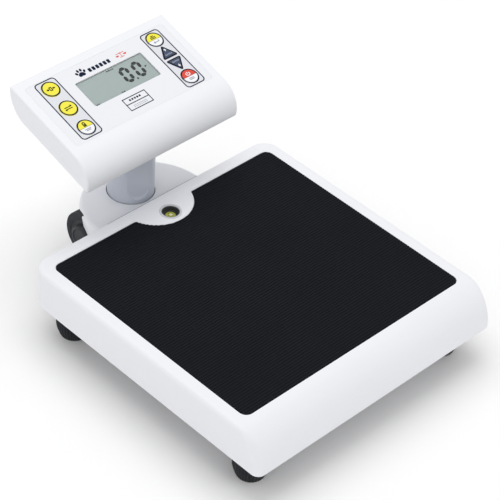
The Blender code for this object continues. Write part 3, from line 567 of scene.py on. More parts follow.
def handling_group():
    """Wear from use: hairline scuffs and a film of dust that settles on what faces up."""
    group, entry, leave = new_group("handling_wear", [
        ("Colour", "NodeSocketColor", (0.8, 0.8, 0.8, 1)),
        ("Roughness", "NodeSocketFloat", 0.4),
        ("Scuffs", "NodeSocketFloat", 0.2),
        ("Scuff Colour", "NodeSocketColor", (0.5, 0.5, 0.5, 1)),
        ("Dust", "NodeSocketFloat", 0.05),
    ], [("Colour", "NodeSocketColor"), ("Roughness", "NodeSocketFloat"), ("Wear", "NodeSocketFloat")])
    link = group.links.new
    place = node(group, "ShaderNodeTexCoord")
    stretch = node(group, "ShaderNodeMapping")
    stretch.inputs["Scale"].default_value = (900.0, 60.0, 300.0)
    stretch.inputs["Rotation"].default_value = (0.3, 0.5, 0.7)
    link(place.outputs["Object"], stretch.inputs["Vector"])
    lines = node(group, "ShaderNodeTexNoise", Scale=1.0, Detail=3.0)
    link(stretch.outputs["Vector"], lines.inputs["Vector"])
    thin = node(group, "ShaderNodeMapRange")
    thin.inputs["From Min"].default_value = 0.66
    thin.inputs["From Max"].default_value = 0.74
    link(lines.outputs["Fac"], thin.inputs["Value"])
    where = node(group, "ShaderNodeTexNoise", Scale=30.0, Detail=2.0)
    link(place.outputs["Object"], where.inputs["Vector"])
    patch = node(group, "ShaderNodeMapRange")
    patch.inputs["From Min"].default_value = 0.45
    patch.inputs["From Max"].default_value = 0.7
    link(where.outputs["Fac"], patch.inputs["Value"])
    mask = node(group, "ShaderNodeMath", operation="MULTIPLY")
    link(thin.outputs["Result"], mask.inputs[0])
    link(patch.outputs["Result"], mask.inputs[1])
    wear = node(group, "ShaderNodeMath", operation="MULTIPLY")
    link(mask.outputs[0], wear.inputs[0])
    link(entry.outputs["Scuffs"], wear.inputs[1])
    marked = node(group, "ShaderNodeMix", data_type="RGBA")
    link(wear.outputs[0], marked.inputs["Factor"])
    link(entry.outputs["Colour"], marked.inputs[6])
    link(entry.outputs["Scuff Colour"], marked.inputs[7])
    facing = node(group, "ShaderNodeNewGeometry")
    split = node(group, "ShaderNodeSeparateXYZ")
    link(facing.outputs["Normal"], split.inputs[0])
    speck = node(group, "ShaderNodeTexNoise", Scale=420.0, Detail=2.0)
    link(place.outputs["Object"], speck.inputs["Vector"])
    upward = node(group, "ShaderNodeMath", operation="MULTIPLY", use_clamp=True)
    link(split.outputs["Z"], upward.inputs[0])
    link(speck.outputs["Fac"], upward.inputs[1])
    film = node(group, "ShaderNodeMath", operation="MULTIPLY", use_clamp=True)
    link(upward.outputs[0], film.inputs[0])
    link(entry.outputs["Dust"], film.inputs[1])
    dusty = node(group, "ShaderNodeMix", data_type="RGBA")
    dusty.inputs[7].default_value = (0.62, 0.60, 0.57, 1)
    link(film.outputs[0], dusty.inputs["Factor"])
    link(marked.outputs[2], dusty.inputs[6])
    dull = node(group, "ShaderNodeMath", operation="MULTIPLY_ADD")
    dull.inputs[1].default_value = 0.35
    link(film.outputs[0], dull.inputs[0])
    link(entry.outputs["Roughness"], dull.inputs[2])
    rough = node(group, "ShaderNodeMath", operation="MULTIPLY_ADD", use_clamp=True)
    rough.inputs[1].default_value = 0.3
    link(wear.outputs[0], rough.inputs[0])
    link(dull.outputs[0], rough.inputs[2])
    link(dusty.outputs[2], leave.inputs["Colour"])
    link(rough.outputs[0], leave.inputs["Roughness"])
    link(wear.outputs[0], leave.inputs["Wear"])
    return group


GRAIN = surface_grain_group()
HANDLING = handling_group()


# ---- materials -------------------------------------------------------------
def moulded(name, colour, roughness, grain=(1500.0, 0.02), drift=0.02, scuffs=0.1, dust=0.04,
            scuff_colour=(0.5, 0.5, 0.5), metallic=0.0, coat=0.0, base=None, **sockets):
    """A surface with grain, drift, scuffs and dust. Grain is (scale, depth in millimetres)."""
    material = bpy.data.materials.new(name)
    material.use_nodes = True
    tree = material.node_tree
    shader = tree.nodes["Principled BSDF"]
    grain_node = node(tree, "ShaderNodeGroup", node_tree=GRAIN)
    grain_node.inputs["Colour"].default_value = (*colour, 1)
    grain_node.inputs["Drift"].default_value = drift
    grain_node.inputs["Roughness"].default_value = roughness
    grain_node.inputs["Grain Scale"].default_value = grain[0]
    grain_node.inputs["Grain Depth"].default_value = grain[1] * MM
    wear_node = node(tree, "ShaderNodeGroup", node_tree=HANDLING)
    wear_node.inputs["Scuffs"].default_value = scuffs
    wear_node.inputs["Dust"].default_value = dust
    wear_node.inputs["Scuff Colour"].default_value = (*scuff_colour, 1)
    if base:
        tree.links.new(base(tree), grain_node.inputs["Colour"])
    tree.links.new(grain_node.outputs["Colour"], wear_node.inputs["Colour"])
    tree.links.new(grain_node.outputs["Roughness"], wear_node.inputs["Roughness"])
    tree.links.new(wear_node.outputs["Colour"], shader.inputs["Base Color"])
    tree.links.new(wear_node.outputs["Roughness"], shader.inputs["Roughness"])
    tree.links.new(grain_node.outputs["Normal"], shader.inputs["Normal"])
    shader.inputs["Metallic"].default_value = metallic
    shader.inputs["Coat Weight"].default_value = coat
    for socket, value in sockets.items():
        shader.inputs[socket.replace("_", " ")].default_value = value
    return material


def brushed_colour(light, dark, stretch):
    """Fine streaks along one direction, for drawn and brushed metal."""
    def base(tree):
        place = node(tree, "ShaderNodeTexCoord")
        along = node(tree, "ShaderNodeMapping")
        along.inputs["Scale"].default_value = stretch
        tree.links.new(place.outputs["Object"], along.inputs["Vector"])
        streak = node(tree, "ShaderNodeTexNoise", Scale=1.0, Detail=3.0)
        tree.links.new(along.outputs["Vector"], streak.inputs["Vector"])
        ramp = node(tree, "ShaderNodeMix", data_type="RGBA")
        ramp.inputs[6].default_value = (*dark, 1)
        ramp.inputs[7].default_value = (*light, 1)
        tree.links.new(streak.outputs["Fac"], ramp.inputs["Factor"])
        return ramp.outputs[2]
    return base


def board_colour(tree):
    """Green board with copper tracks under the mask and rows of pale pads."""
    place = node(tree, "ShaderNodeTexCoord")
    tracks = node(tree, "ShaderNodeTexBrick", Scale=90.0)
    tracks.inputs["Color1"].default_value = (0.010, 0.110, 0.040, 1)
    tracks.inputs["Color2"].default_value = (0.016, 0.150, 0.055, 1)
    tracks.inputs["Mortar"].default_value = (0.040, 0.230, 0.090, 1)
    tracks.inputs["Mortar Size"].default_value = 0.012
    tree.links.new(place.outputs["Object"], tracks.inputs["Vector"])
    pads = node(tree, "ShaderNodeTexVoronoi", Scale=260.0)
    tree.links.new(place.outputs["Object"], pads.inputs["Vector"])
    spot = node(tree, "ShaderNodeMath", operation="LESS_THAN")
    spot.inputs[1].default_value = 0.16
    tree.links.new(pads.outputs["Distance"], spot.inputs[0])
    mix = node(tree, "ShaderNodeMix", data_type="RGBA")
    mix.inputs[7].default_value = (0.55, 0.53, 0.46, 1)
    tree.links.new(spot.outputs[0], mix.inputs["Factor"])
    tree.links.new(tracks.outputs["Color"], mix.inputs[6])
    return mix.outputs[2]


def wrap_colour(tree):
    """Battery sleeve: dark with a copper band near one end, from its place along the cell."""
    place = node(tree, "ShaderNodeTexCoord")
    split = node(tree, "ShaderNodeSeparateXYZ")
    tree.links.new(place.outputs["Generated"], split.inputs[0])
    band = node(tree, "ShaderNodeMath", operation="GREATER_THAN")
    band.inputs[1].default_value = 0.72
    tree.links.new(split.outputs["Y"], band.inputs[0])
    mix = node(tree, "ShaderNodeMix", data_type="RGBA")
    mix.inputs[6].default_value = (0.020, 0.021, 0.025, 1)
    mix.inputs[7].default_value = (0.56, 0.27, 0.11, 1)
    tree.links.new(band.outputs[0], mix.inputs["Factor"])
    return mix.outputs[2]


def glass_colour(tree):
    """Grey-green display glass with the faint grid of its unlit layer."""
    place = node(tree, "ShaderNodeTexCoord")
    weave = node(tree, "ShaderNodeTexNoise", Scale=2600.0, Detail=1.0)
    tree.links.new(place.outputs["Object"], weave.inputs["Vector"])
    mix = node(tree, "ShaderNodeMix", data_type="RGBA")
    mix.inputs[6].default_value = (0.315, 0.378, 0.368, 1)
    mix.inputs[7].default_value = (0.352, 0.422, 0.411, 1)
    tree.links.new(weave.outputs["Fac"], mix.inputs["Factor"])
    return mix.outputs[2]


SHELL = moulded("shell_white", (0.83, 0.84, 0.875), 0.42, (2400.0, 0.010), 0.008, 0.05, 0.03,
                (0.62, 0.62, 0.64), Specular_IOR_Level=0.35)
MAT_RUBBER = moulded("mat_rubber", (0.0040, 0.0052, 0.0082), 0.72, (1800.0, 0.05), 0.12, 0.15, 0.01,
                     (0.03, 0.03, 0.035), Specular_IOR_Level=0.10)
COLUMN_PAINT = moulded("column_paint", (0.50, 0.53, 0.60), 0.36, (3200.0, 0.008), 0.03, 0.15, 0.03,
                       (0.55, 0.56, 0.60), 0.0, 0.25)
PAD_RUBBER = moulded("pad_rubber", (0.010, 0.012, 0.016), 0.6, (1400.0, 0.04), 0.1, 0.3, 0.05,
                     (0.07, 0.07, 0.07), Specular_IOR_Level=0.3)
TYRE_RUBBER = moulded("tyre_rubber_finish", (0.024, 0.027, 0.033), 0.68, (1300.0, 0.05), 0.1, 0.30, 0.06,
                      (0.09, 0.09, 0.09), Specular_IOR_Level=0.3)
HUB_PLASTIC = moulded("hub_plastic", (0.024, 0.026, 0.031), 0.50, (1700.0, 0.02), 0.05, 0.2, 0.04,
                      (0.08, 0.08, 0.09), Specular_IOR_Level=0.35)
DARK_PLASTIC = moulded("dark_plastic_finish", (0.030, 0.032, 0.037), 0.5, (1700.0, 0.02), 0.05, 0.15, 0.03)
GREY_PLASTIC = moulded("grey_plastic_finish", (0.42, 0.43, 0.45), 0.5, (1600.0, 0.025), 0.03, 0.2, 0.05)
STEEL = moulded("zinc_steel", (0.62, 0.63, 0.65), 0.34, (900.0, 0.01), 0.06, 0.4, 0.02, (0.42, 0.42, 0.42),
                1.0, base=brushed_colour((0.68, 0.69, 0.70), (0.52, 0.53, 0.55), (30.0, 900.0, 900.0)))
ALUMINIUM = moulded("milled_aluminium", (0.75, 0.76, 0.78), 0.3, (1200.0, 0.01), 0.04, 0.3, 0.02,
                    (0.55, 0.55, 0.56), 1.0,
                    base=brushed_colour((0.80, 0.81, 0.83), (0.66, 0.67, 0.69), (900.0, 40.0, 900.0)))
BOARD = moulded("board_finish", (0.02, 0.15, 0.06), 0.38, (1500.0, 0.015), 0.05, 0.0, 0.02, coat=0.3,
                base=board_colour)
CELL_SLEEVE = moulded("cell_sleeve", (0.02, 0.02, 0.025), 0.3, (1500.0, 0.004), 0.02, 0.2, 0.0, coat=0.4,
                      base=wrap_colour)
FILM = moulded("overlay_film", (0.80, 0.81, 0.845), 0.5, (3600.0, 0.006), 0.006, 0.04, 0.02,
               (0.65, 0.65, 0.67), Specular_IOR_Level=0.3)
STRIP_INK = moulded("strip_grey", (0.70, 0.715, 0.76), 0.5, (3600.0, 0.004), 0.01, 0.05, 0.0)
STRIP_LINE = moulded("pale_ink", (0.30, 0.33, 0.40), 0.5, (3600.0, 0.003), 0.03, 0.05, 0.0)
SEAL_GREY = moulded("seal_grey", (0.36, 0.38, 0.43), 0.6, (1600.0, 0.02), 0.03, 0.05, 0.02)
BEZEL = moulded("level_bezel_finish", (0.60, 0.61, 0.64), 0.45, (2400.0, 0.010), 0.01, 0.05, 0.02)
NAVY_INK = moulded("navy_ink", (0.005, 0.013, 0.038), 0.6, (3600.0, 0.003), 0.05, 0.02, 0.0,
                   Specular_IOR_Level=0.08)
BLACK_INK = moulded("black_ink", (0.006, 0.007, 0.010), 0.6, (3600.0, 0.003), 0.05, 0.02, 0.0,
                   Specular_IOR_Level=0.08)
RED_INK = moulded("red_ink", (0.70, 0.040, 0.010), 0.45, (3600.0, 0.003), 0.03, 0.05, 0.0)
YELLOW_FILM = moulded("key_yellow_film", (0.86, 0.78, 0.030), 0.42, (3000.0, 0.004), 0.02, 0.05, 0.0)
WHITE_FILM = moulded("key_white_film", (0.85, 0.86, 0.88), 0.42, (3000.0, 0.004), 0.01, 0.05, 0.0)
NAVY_FILM = moulded("key_navy_film", (0.022, 0.045, 0.100), 0.42, (3000.0, 0.004), 0.06, 0.08, 0.0)
DISPLAY_GLASS = moulded("display_glass", (0.34, 0.41, 0.395), 0.35, (3000.0, 0.001), 0.01, 0.0, 0.0,
                        base=glass_colour, Specular_IOR_Level=0.25)
WINDOW_SHEET = moulded("window_sheet", (0.85, 0.90, 0.88), 0.08, (2600.0, 0.001), 0.0, 0.05, 0.0,
                       Alpha=0.03, Specular_IOR_Level=0.1)
FLUID = moulded("level_fluid_finish", (0.52, 0.54, 0.070), 0.12, (700.0, 0.002), 0.06, 0.0, 0.0, coat=0.8)
BUBBLE = moulded("level_bubble_finish", (0.80, 0.80, 0.42), 0.1, (700.0, 0.002), 0.02, 0.0, 0.0, coat=1.0)

CARRIED = {
    "steel": STEEL, "aluminium": ALUMINIUM, "dark_plastic": DARK_PLASTIC, "grey_plastic": GREY_PLASTIC,
    "circuit_board": BOARD, "cell_wrap": CELL_SLEEVE, "white_shell": SHELL, "rubber_mat": MAT_RUBBER,
    "tyre_rubber": TYRE_RUBBER, "level_fluid": FLUID, "overlay": FILM, "key_yellow": YELLOW_FILM,
    "key_navy": NAVY_FILM, "key_red": RED_INK, "clear_window": WINDOW_SHEET, "lcd_glass": DISPLAY_GLASS,
}


def finish_packed_nodes():
    """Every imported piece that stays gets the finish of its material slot."""
    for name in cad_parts:
        item = bpy.data.objects.get(name)
        for number, used in enumerate(item.material_slots):
            for start, finish in CARRIED.items():
                if used.material and used.material.name.split(".")[0] == start:
                    item.material_slots[number].material = finish


# ---- platform --------------------------------------------------------------
def cover_stations(roll_steps=28, corner_steps=10):
    """Places along the cover's left edge, from the skirt up the roll to the middle of the back.

    Each is (point on the sharp edge, way out, way down, radius of the rounded edge there).
    """
    stations = []
    rise = DECK_Z - SKIRT_Z
    for i in reversed(range(roll_steps + 1)):
        angle = math.radians(90 + 90 * i / roll_steps)
        c, s = math.cos(angle), math.sin(angle)
        point = Vector((-HALF_WIDTH, FRONT_Y + NOSE_DEPTH * (1 + c), SKIRT_Z + rise * s))
        down = -Vector((0, c / NOSE_DEPTH, s / rise)).normalized()
        part = min(1.0, i / roll_steps / 0.6)
        radius = EDGE_ROUND + (FRONT_CORNER - EDGE_ROUND) * part * part * (3 - 2 * part)
        stations.append((point, Vector((-1, 0, 0)), down, radius))
    centre = Vector((-HALF_WIDTH + REAR_CORNER, BACK_Y - REAR_CORNER, DECK_Z))
    for i in range(corner_steps + 1):
        angle = math.radians(180 - 90 * i / corner_steps)
        out = Vector((math.cos(angle), math.sin(angle), 0))
        radius = EDGE_ROUND + (REAR_EDGE - EDGE_ROUND) * i / corner_steps
        stations.append((centre + out * REAR_CORNER, out, Vector((0, 0, -1)), radius))
    return stations, roll_steps


def cover_skin(edge_steps=8, margin=1.2 * MM):
    """Deck, front roll and walls as one skin with rounded edges."""
    stations, roll_steps = cover_stations()
    rows = []
    for point, out, down, radius in stations:
        row = [point - out * (radius + margin)]
        for k in range(edge_steps + 1):
            angle = math.pi / 2 * k / edge_steps
            row.append(point + out * radius * (math.sin(angle) - 1) + down * radius * (1 - math.cos(angle)))
        foot = row[-1].copy()
        foot.z = SKIRT_Z
        rows.append(row + [foot])
    mirrored = [[Vector((-p.x, p.y, p.z)) for p in row] for row in reversed(rows)]
    rows += mirrored
    width = len(rows[0])
    points = [tuple(point) for row in rows for point in row]
    faces = []
    for r in range(len(rows) - 1):
        for k in range(width - 1):
            a, b = r * width + k, (r + 1) * width + k
            faces.append((a, a + 1, b + 1, b))
    last = len(rows) - 1
    for r in range(roll_steps):
        faces.append((r * width, (r + 1) * width, (last - r - 1) * width, (last - r) * width))
    faces.append(tuple(r * width for r in range(roll_steps, last - roll_steps + 1)))
    mesh = mesh_from("cover_skin", points, faces)
    deck = max(mesh.polygons, key=lambda face: face.area)
    if deck.normal.z < 0:
        mesh.flip_normals()
    return mesh


def mat_outline(grow):
    """The mat's rounded rectangle with the round notch in its rear edge."""
    back = MAT_HIGH.y + grow
    radius = NOTCH_RADIUS - grow
    tip = NOTCH_ROUND + grow
    tip_y = back - tip
    tip_x = math.sqrt((radius + tip) ** 2 - (tip_y - NOTCH_Y) ** 2)
    meet = math.degrees(math.atan2(tip_y - NOTCH_Y, tip_x))
    outer = rounded_box(MAT_LOW.x - grow, MAT_HIGH.x + grow, MAT_LOW.y - grow, back, MAT_CORNER)
    split = len(outer) // 2
    notch = (arc((tip_x, tip_y), tip, 90, 180 + meet, 8)
             + arc((0, NOTCH_Y), radius, meet, -180 - meet, 64)[1:-1]
             + arc((-tip_x, tip_y), tip, -meet, 90, 8))
    return outer[:split] + notch + outer[split:]


def cover():
    """White cover with the mat's recess, the level's well and the bracket's slot, and the level's bezel."""
    skin = thickened(cover_skin(), COVER_WALL)
    recess = plate("recess", mat_outline(GAP), DECK_Z - MAT_RECESS, DECK_Z + PAST)
    bore = LEVEL_RADIUS + GAP
    well = moved(turned("well", [(bore, -WELL_DEPTH), (bore, PAST)], 64), shift(0, LEVEL_Y, DECK_Z))
    slot = block((-SLOT_HALF, BACK_Y - SLOT_REACH, SLOT_LOW), (SLOT_HALF, BACK_Y + SLOT_REACH, SLOT_HIGH))
    shell = carve(skin, [recess, well, slot])
    add_piece("cover_shell", shell, SHELL, "platform", replaces=["platform_cover"])
    section = [(LEVEL_RADIUS + out * MM, up * MM) for out, up in BEZEL_SECTION]
    ring = moved(turned("ring", section, 96, closed=True), shift(0, LEVEL_Y, DECK_Z))
    add_piece("level_bezel", ring, BEZEL, "platform")


def ribbed_mat():
    """Rubber mat with raised ribs from side to side, trimmed to the mat's outline."""
    low, high = MAT_LOW.z, MAT_HIGH.z
    valley, soft = high - RIB_HEIGHT, high - RIB_SOFT
    rib = ((0.0, valley), (0.10, soft), (0.20, high), (0.46, high), (0.56, soft), (0.66, valley))
    section = [(MAT_LOW.y - RIB_PITCH, low), (MAT_LOW.y - RIB_PITCH, valley)]
    count = int((MAT_HIGH.y - MAT_LOW.y) / RIB_PITCH) + 2
    for i in range(count):
        start = MAT_LOW.y - RIB_LEAD * RIB_PITCH + i * RIB_PITCH
        section += [(start + part * RIB_PITCH, z) for part, z in rib]
    section.append((section[-1][0] + RIB_PITCH, valley))
    section.append((section[-1][0], low))
    reach = MAT_HIGH.x + PAST
    rings = [[(x, y, z) for y, z in section] for x in (-reach, reach)]
    trim = plate("trim", mat_outline(0), low - MM, high + MM)
    mesh = carve(rings_mesh("ribs", rings), [trim], "INTERSECT")
    add_piece("ribbed_mat", mesh, MAT_RUBBER, "platform", replaces=["deck_mat"])


def spirit_level():
    """Dark cup, domed fluid, bubble and the ring that the bubble is centred in."""
    depth = CUP_HIGH.z - CUP_LOW.z
    bore, mouth = LEVEL_RADIUS - CUP_WALL, LEVEL_RADIUS - CUP_RIM
    profile = rounded([(0, -depth), (LEVEL_RADIUS, -depth), (LEVEL_RADIUS, 0), (mouth, 0),
                       (mouth, -CUP_LEDGE), (bore, -CUP_LEDGE), (bore, CUP_FLOOR - depth),
                       (0, CUP_FLOOR - depth)],
                      0.3 * MM, 3, closed=False)
    place = shift(0, LEVEL_Y, CUP_HIGH.z)
    add_piece("level_cup_finish", moved(turned("cup", profile), place), DARK_PLASTIC, "platform",
              replaces=["level_cup"])
    vial = bore - VIAL_GAP
    bends = [math.radians(10 * k) for k in range(1, 10)]
    dome = [(vial * math.sin(a), -FLUID_TOP - DOME_FALL * (1 - math.cos(a))) for a in bends]
    fluid = [(0, -FLUID_TOP)] + dome + [(vial, -FLUID_FOOT), (0, -FLUID_FOOT)]
    eye = EYE_SHARE * vial
    mark = [(eye, -0.9 * MM), (eye + EYE_LINE, -0.95 * MM), (eye + EYE_LINE, -0.50 * MM), (eye, -0.48 * MM)]
    drop = [(share * eye, -down * MM) for share, down in BUBBLE_SECTION]
    parts = [(turned("fluid", fluid), FLUID),
             (turned("mark", mark, closed=True), BLACK_INK),
             (moved(turned("drop", drop), shift(0.4 * MM, -0.3 * MM, 0)), BUBBLE)]
    sunk = place @ shift(0, 0, VIAL_DROP)
    add_piece("level_vial_finish", moved(joined("vial", parts), sunk), None, "platform",
              replaces=["level_vial"])


def foot_pads():
    """Rubber pads with a scalloped rim, tapering to the sole."""
    for foot in FEET:
        low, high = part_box(f"foot_pad_{foot}")
        stud_low, stud_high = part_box(f"foot_stud_{foot}")
        centre, top = (low + high) / 2, high.z
        radius = (high.x - low.x) / 2
        hole = (stud_high.x - stud_low.x) / 2 + GAP
        side = [(radius - inwards * MM, up * MM, flute * MM) for inwards, up, flute in PAD_SIDE]
        shoulder = [(radius - inwards * MM, top - down * MM, flute * MM)
                    for inwards, down, flute in PAD_SHOULDER]
        socket = [(hole, top, 0), (hole, PAD_SOCKET, 0), (PAD_EYE, PAD_SOCKET, 0)]
        levels = [(PAD_EYE, 0, 0)] + side + shoulder + socket
        mesh = moved(fluted(f"foot_pad_{foot}", levels, PAD_TEETH), shift(centre.x, centre.y, 0))
        add_piece(f"foot_rubber_{foot}", mesh, PAD_RUBBER, f"foot_pad_{foot}",
                  crease=50, replaces=[f"foot_pad_{foot}"])


# ---- housing, wheels, column -----------------------------------------------
def on_axle(sign):
    """Lays a shape that is turned about Z along the wheel axle, its top outwards."""
    return shift(0, WHEEL_Y, WHEEL_Z) @ Matrix.Rotation(sign * math.pi / 2, 4, "Y")


def neck_housing():
    """Half-round housing behind the platform, with slots for the wheels."""
    low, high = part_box("neck_housing")
    foot_radius = HOUSING_RADIUS - HOUSING_TAPER
    bend = HOUSING_RADIUS - HOUSING_SHOULDER
    bend_z = high.z - HOUSING_SHOULDER
    profile = ([(0, high.z)]
               + quarter((bend, bend_z), HOUSING_SHOULDER, HOUSING_SHOULDER, 90, 0, 2, 8)
               + [(foot_radius, low.z), (foot_radius - HOUSING_WALL, low.z),
                  (HOUSING_RADIUS - HOUSING_WALL, bend_z),
                  (bend, high.z - HOUSING_WALL), (0, high.z - HOUSING_WALL)])
    shell = moved(turned("housing", profile, 144), shift(0, HOUSING_Y, 0))
    hole = COLUMN_RADIUS + COLUMN_GAP
    tools = [block((-FAR, low.y - FAR, 0), (FAR, low.y, FAR)),
             moved(turned("hole", [(hole, -THROUGH), (hole, 2 * THROUGH)], 96), shift(0, COLUMN_Y, high.z))]
    inner, outer = TYRE_LOW.x - WHEEL_SLOT_INNER, TYRE_HIGH.x + WHEEL_SLOT_OUTER
    clear = WHEEL_RADIUS + WHEEL_SLOT_ROUND
    eye_start, eye_end = outer - 3 * MM, outer + 2 * THROUGH
    for sign in SIDES.values():
        tools.append(moved(turned("slot", [(clear, inner), (clear, outer)], 72), on_axle(sign)))
        tools.append(moved(turned("eye", [(BOSS_EYE, eye_start), (BOSS_EYE, eye_end)], 48), on_axle(sign)))
    add_piece("housing_shell", carve(shell, tools), SHELL, "platform",
              replaces=["neck_housing"])


def housing_seal():
    """Lip seal that closes the joint between the deck's back edge and the housing."""
    half = HOUSING_RADIUS - SEAL_SHORT
    low = (-half, BACK_Y + SEAL_NEAR, HOUSING_HIGH.z - SEAL_SUNK)
    high = (half, BACK_Y + SEAL_FAR, DECK_Z - SEAL_BELOW)
    add_piece("housing_seal", block(low, high, SEAL_EDGE), SEAL_GREY, "platform")


def tyre_section():
    """The tyre's section as (radius, distance along the axle), with grooves in its tread."""
    inner, outer = TYRE_LOW.x, TYRE_HIGH.x
    rim, crest, floor = HUB_RADIUS + GAP, WHEEL_RADIUS - TYRE_CROWN, WHEEL_RADIUS - GROOVE_DEPTH
    tread = []
    for k in range(GROOVES):
        across = inner + TYRE_CROWN + (outer - inner - 2 * TYRE_CROWN) * (k + 0.5) / GROOVES
        tread += [(WHEEL_RADIUS, across - GROOVE_MOUTH), (floor, across - GROOVE_FLOOR),
                  (floor, across + GROOVE_FLOOR), (WHEEL_RADIUS, across + GROOVE_MOUTH)]
    return ([(rim, inner), (crest, inner)]
            + quarter((crest, inner + TYRE_CROWN), TYRE_CROWN, TYRE_CROWN, -90, 0, 2, 6)[1:]
            + tread
            + quarter((crest, outer - TYRE_CROWN), TYRE_CROWN, TYRE_CROWN, 0, 90, 2, 6)
            + [(rim + RIM_LIP, outer), (rim + RIM_LIP - RIM_STEP, outer - RIM_STEP),
               (rim, outer - RIM_STEP)])


def hub_section():
    """The hub's disc: a flat rim round a dished face."""
    back, face = TYRE_LOW.x + HUB_BACK, TYRE_HIGH.x - HUB_SUNK
    dish = face - HUB_DISH
    return rounded([(HUB_BORE, back), (HUB_RADIUS, back), (HUB_RADIUS, face), (HUB_RADIUS - 1.3 * MM, face),
                    (HUB_RADIUS - 1.7 * MM, dish), (HUB_BORE, dish)], 0.2 * MM, 2)


def boss_levels():
    """The fluted boss that closes over the axle's end, as (radius, distance along the axle, flute)."""
    root, outer = TYRE_HIGH.x - BOSS_ROOT, TYRE_HIGH.x
    lid = AXLE_END + 0.5 * MM
    crown = [(BOSS_RADIUS - inwards * MM, BOSS_OUTER - back * MM, flute * MM)
             for inwards, back, flute in BOSS_CROWN]
    return ([(BOSS_PIN, lid, 0), (HUB_BORE, lid, 0), (HUB_BORE, root, 0), (BOSS_RADIUS, root, 0),
             (BOSS_RADIUS, outer + 1 * MM, 0), (BOSS_RADIUS, outer + 1.6 * MM, BOSS_FLUTE)]
            + crown + [(BOSS_PIN, crown[-1][1], 0)])


def wheels():
    """Solid tyres on a flush hub with a fluted boss that holds the axle."""
    for side, sign in SIDES.items():
        tyre = moved(turned("tyre", tyre_section(), 96, closed=True), on_axle(sign))
        add_piece(f"tyre_{side}", tyre, TYRE_RUBBER, f"wheel_{side}",
                  replaces=[f"wheel_tyre_{side}"])
        parts = [turned("hub", hub_section(), 96, closed=True), fluted("boss", boss_levels(), BOSS_FLUTES)]
        hub = moved(joined("hub", [(part, HUB_PLASTIC) for part in parts]), on_axle(sign))
        add_piece(f"hub_{side}", hub, None, f"wheel_{side}", crease=40,
                  replaces=[f"wheel_hub_{side}"])


def column():
    """Painted column with a flat panel let into its front, and the seal round its foot."""
    foot, top = COLUMN_LOW.z, COLUMN_HIGH.z
    shoulder = foot + SPIGOT_LENGTH
    profile = [(0, foot), (SPIGOT_RADIUS, foot), (SPIGOT_RADIUS, shoulder), (COLUMN_RADIUS, shoulder),
               (COLUMN_RADIUS, top - COLUMN_EDGE), (COLUMN_RADIUS - COLUMN_EDGE, top), (0, top)]
    tube = moved(turned("column", profile, 144), shift(0, COLUMN_Y, 0))
    panel_foot = HOUSING_HIGH.z + RECESS_RISE
    outline = (arc((0, panel_foot + RECESS_HALF), RECESS_HALF, 180, 360, 32)
               + [(RECESS_HALF, top + THROUGH), (-RECESS_HALF, top + THROUGH)])
    walls = [(outwards * MM, inwards * MM) for outwards, inwards in RECESS_WALL]
    upright = shift(0, -RECESS_FLOOR, 0) @ Matrix.Rotation(math.pi / 2, 4, "X")
    facing = Matrix.Rotation(RECESS_TURN, 4, "Z") @ upright
    panel = moved(slab("panel", outline, walls), shift(0, COLUMN_Y, 0) @ facing)
    add_piece("column_skin", carve(tube, [panel]), COLUMN_PAINT, "column",
              replaces=["column_tube"])
    inner, outer = COLUMN_RADIUS + RING_INNER, COLUMN_RADIUS + RING_OUTER
    section = rounded([(inner, -RING_ROOT), (outer, -RING_ROOT), (outer, -RING_SUNK), (inner, -RING_SUNK)],
                      0.1 * MM, 2)
    ring = moved(turned("seal", section, 96, closed=True), shift(0, COLUMN_Y, HOUSING_HIGH.z))
    add_piece("column_seal", ring, DARK_PLASTIC, "platform")


# ---- display head ----------------------------------------------------------
def head_place():
    """Where the head's own frame lies: x, slope towards the back, and height above the face."""
    low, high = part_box("face_overlay")
    turn = Matrix.Rotation(HEAD_TILT, 4, "X")
    middle = turn @ Vector((0, (OVERLAY[2] + OVERLAY[3]) / 2, -0.25 * MM))
    return Matrix.Translation((low + high) / 2 - middle) @ turn


HEAD = head_place()


def head_profile(top, wall, open_bottom=False):
    """The head's side outline as (slope, height) points; the face lies at height 0."""
    low = -HEAD_THICK
    nose = quarter((HEAD_ROLL, low), HEAD_ROLL - HEAD_FRONT - wall, HEAD_THICK - top, 90, 180, 2, 28)
    end = math.degrees(math.asin(((top or CREST_ROUND) / (HEAD_THICK - wall)) ** (HEEL_POWER / 2)))
    heel = quarter((HEEL_START, 0), HEAD_BACK - HEEL_START - wall, HEAD_THICK - wall, -90, -end,
                   HEEL_POWER, 24)
    if open_bottom:
        under = low - 3 * MM
        return nose + [(nose[-1][0], under), (heel[0][0], under)] + heel
    outline = nose[:-2] + rounded([nose[-3], nose[-1], heel[0]], BELLY_ROUND, 5, closed=False)[1:-1] + heel
    crest = heel[-1]
    return outline + arc((crest[0] - CREST_ROUND, -CREST_ROUND), CREST_ROUND, 0, 90, 6)[1:]


def head_skin(edge_steps=7, margin=0.8 * MM):
    """The head's closed outer surface, rounded along both sides."""
    outline = head_profile(0, 0)
    rows = []
    for k in range(edge_steps + 1):
        angle = math.pi / 2 * k / edge_steps
        rows.append((HEAD_HALF - HEAD_EDGE * (1 - math.sin(angle)), HEAD_EDGE * (1 - math.cos(angle))))
    right = [(HEAD_HALF - HEAD_EDGE - margin, 0)] + rows + [(HEAD_HALF, HEAD_EDGE + margin)]
    left = [(-x, depth) for x, depth in reversed(right)]
    rings = []
    for x, depth in left + right:
        loop = inset(outline, depth) if depth else outline
        rings.append([(x, slope, height) for slope, height in loop])
    return rings_mesh("head_skin", rings)


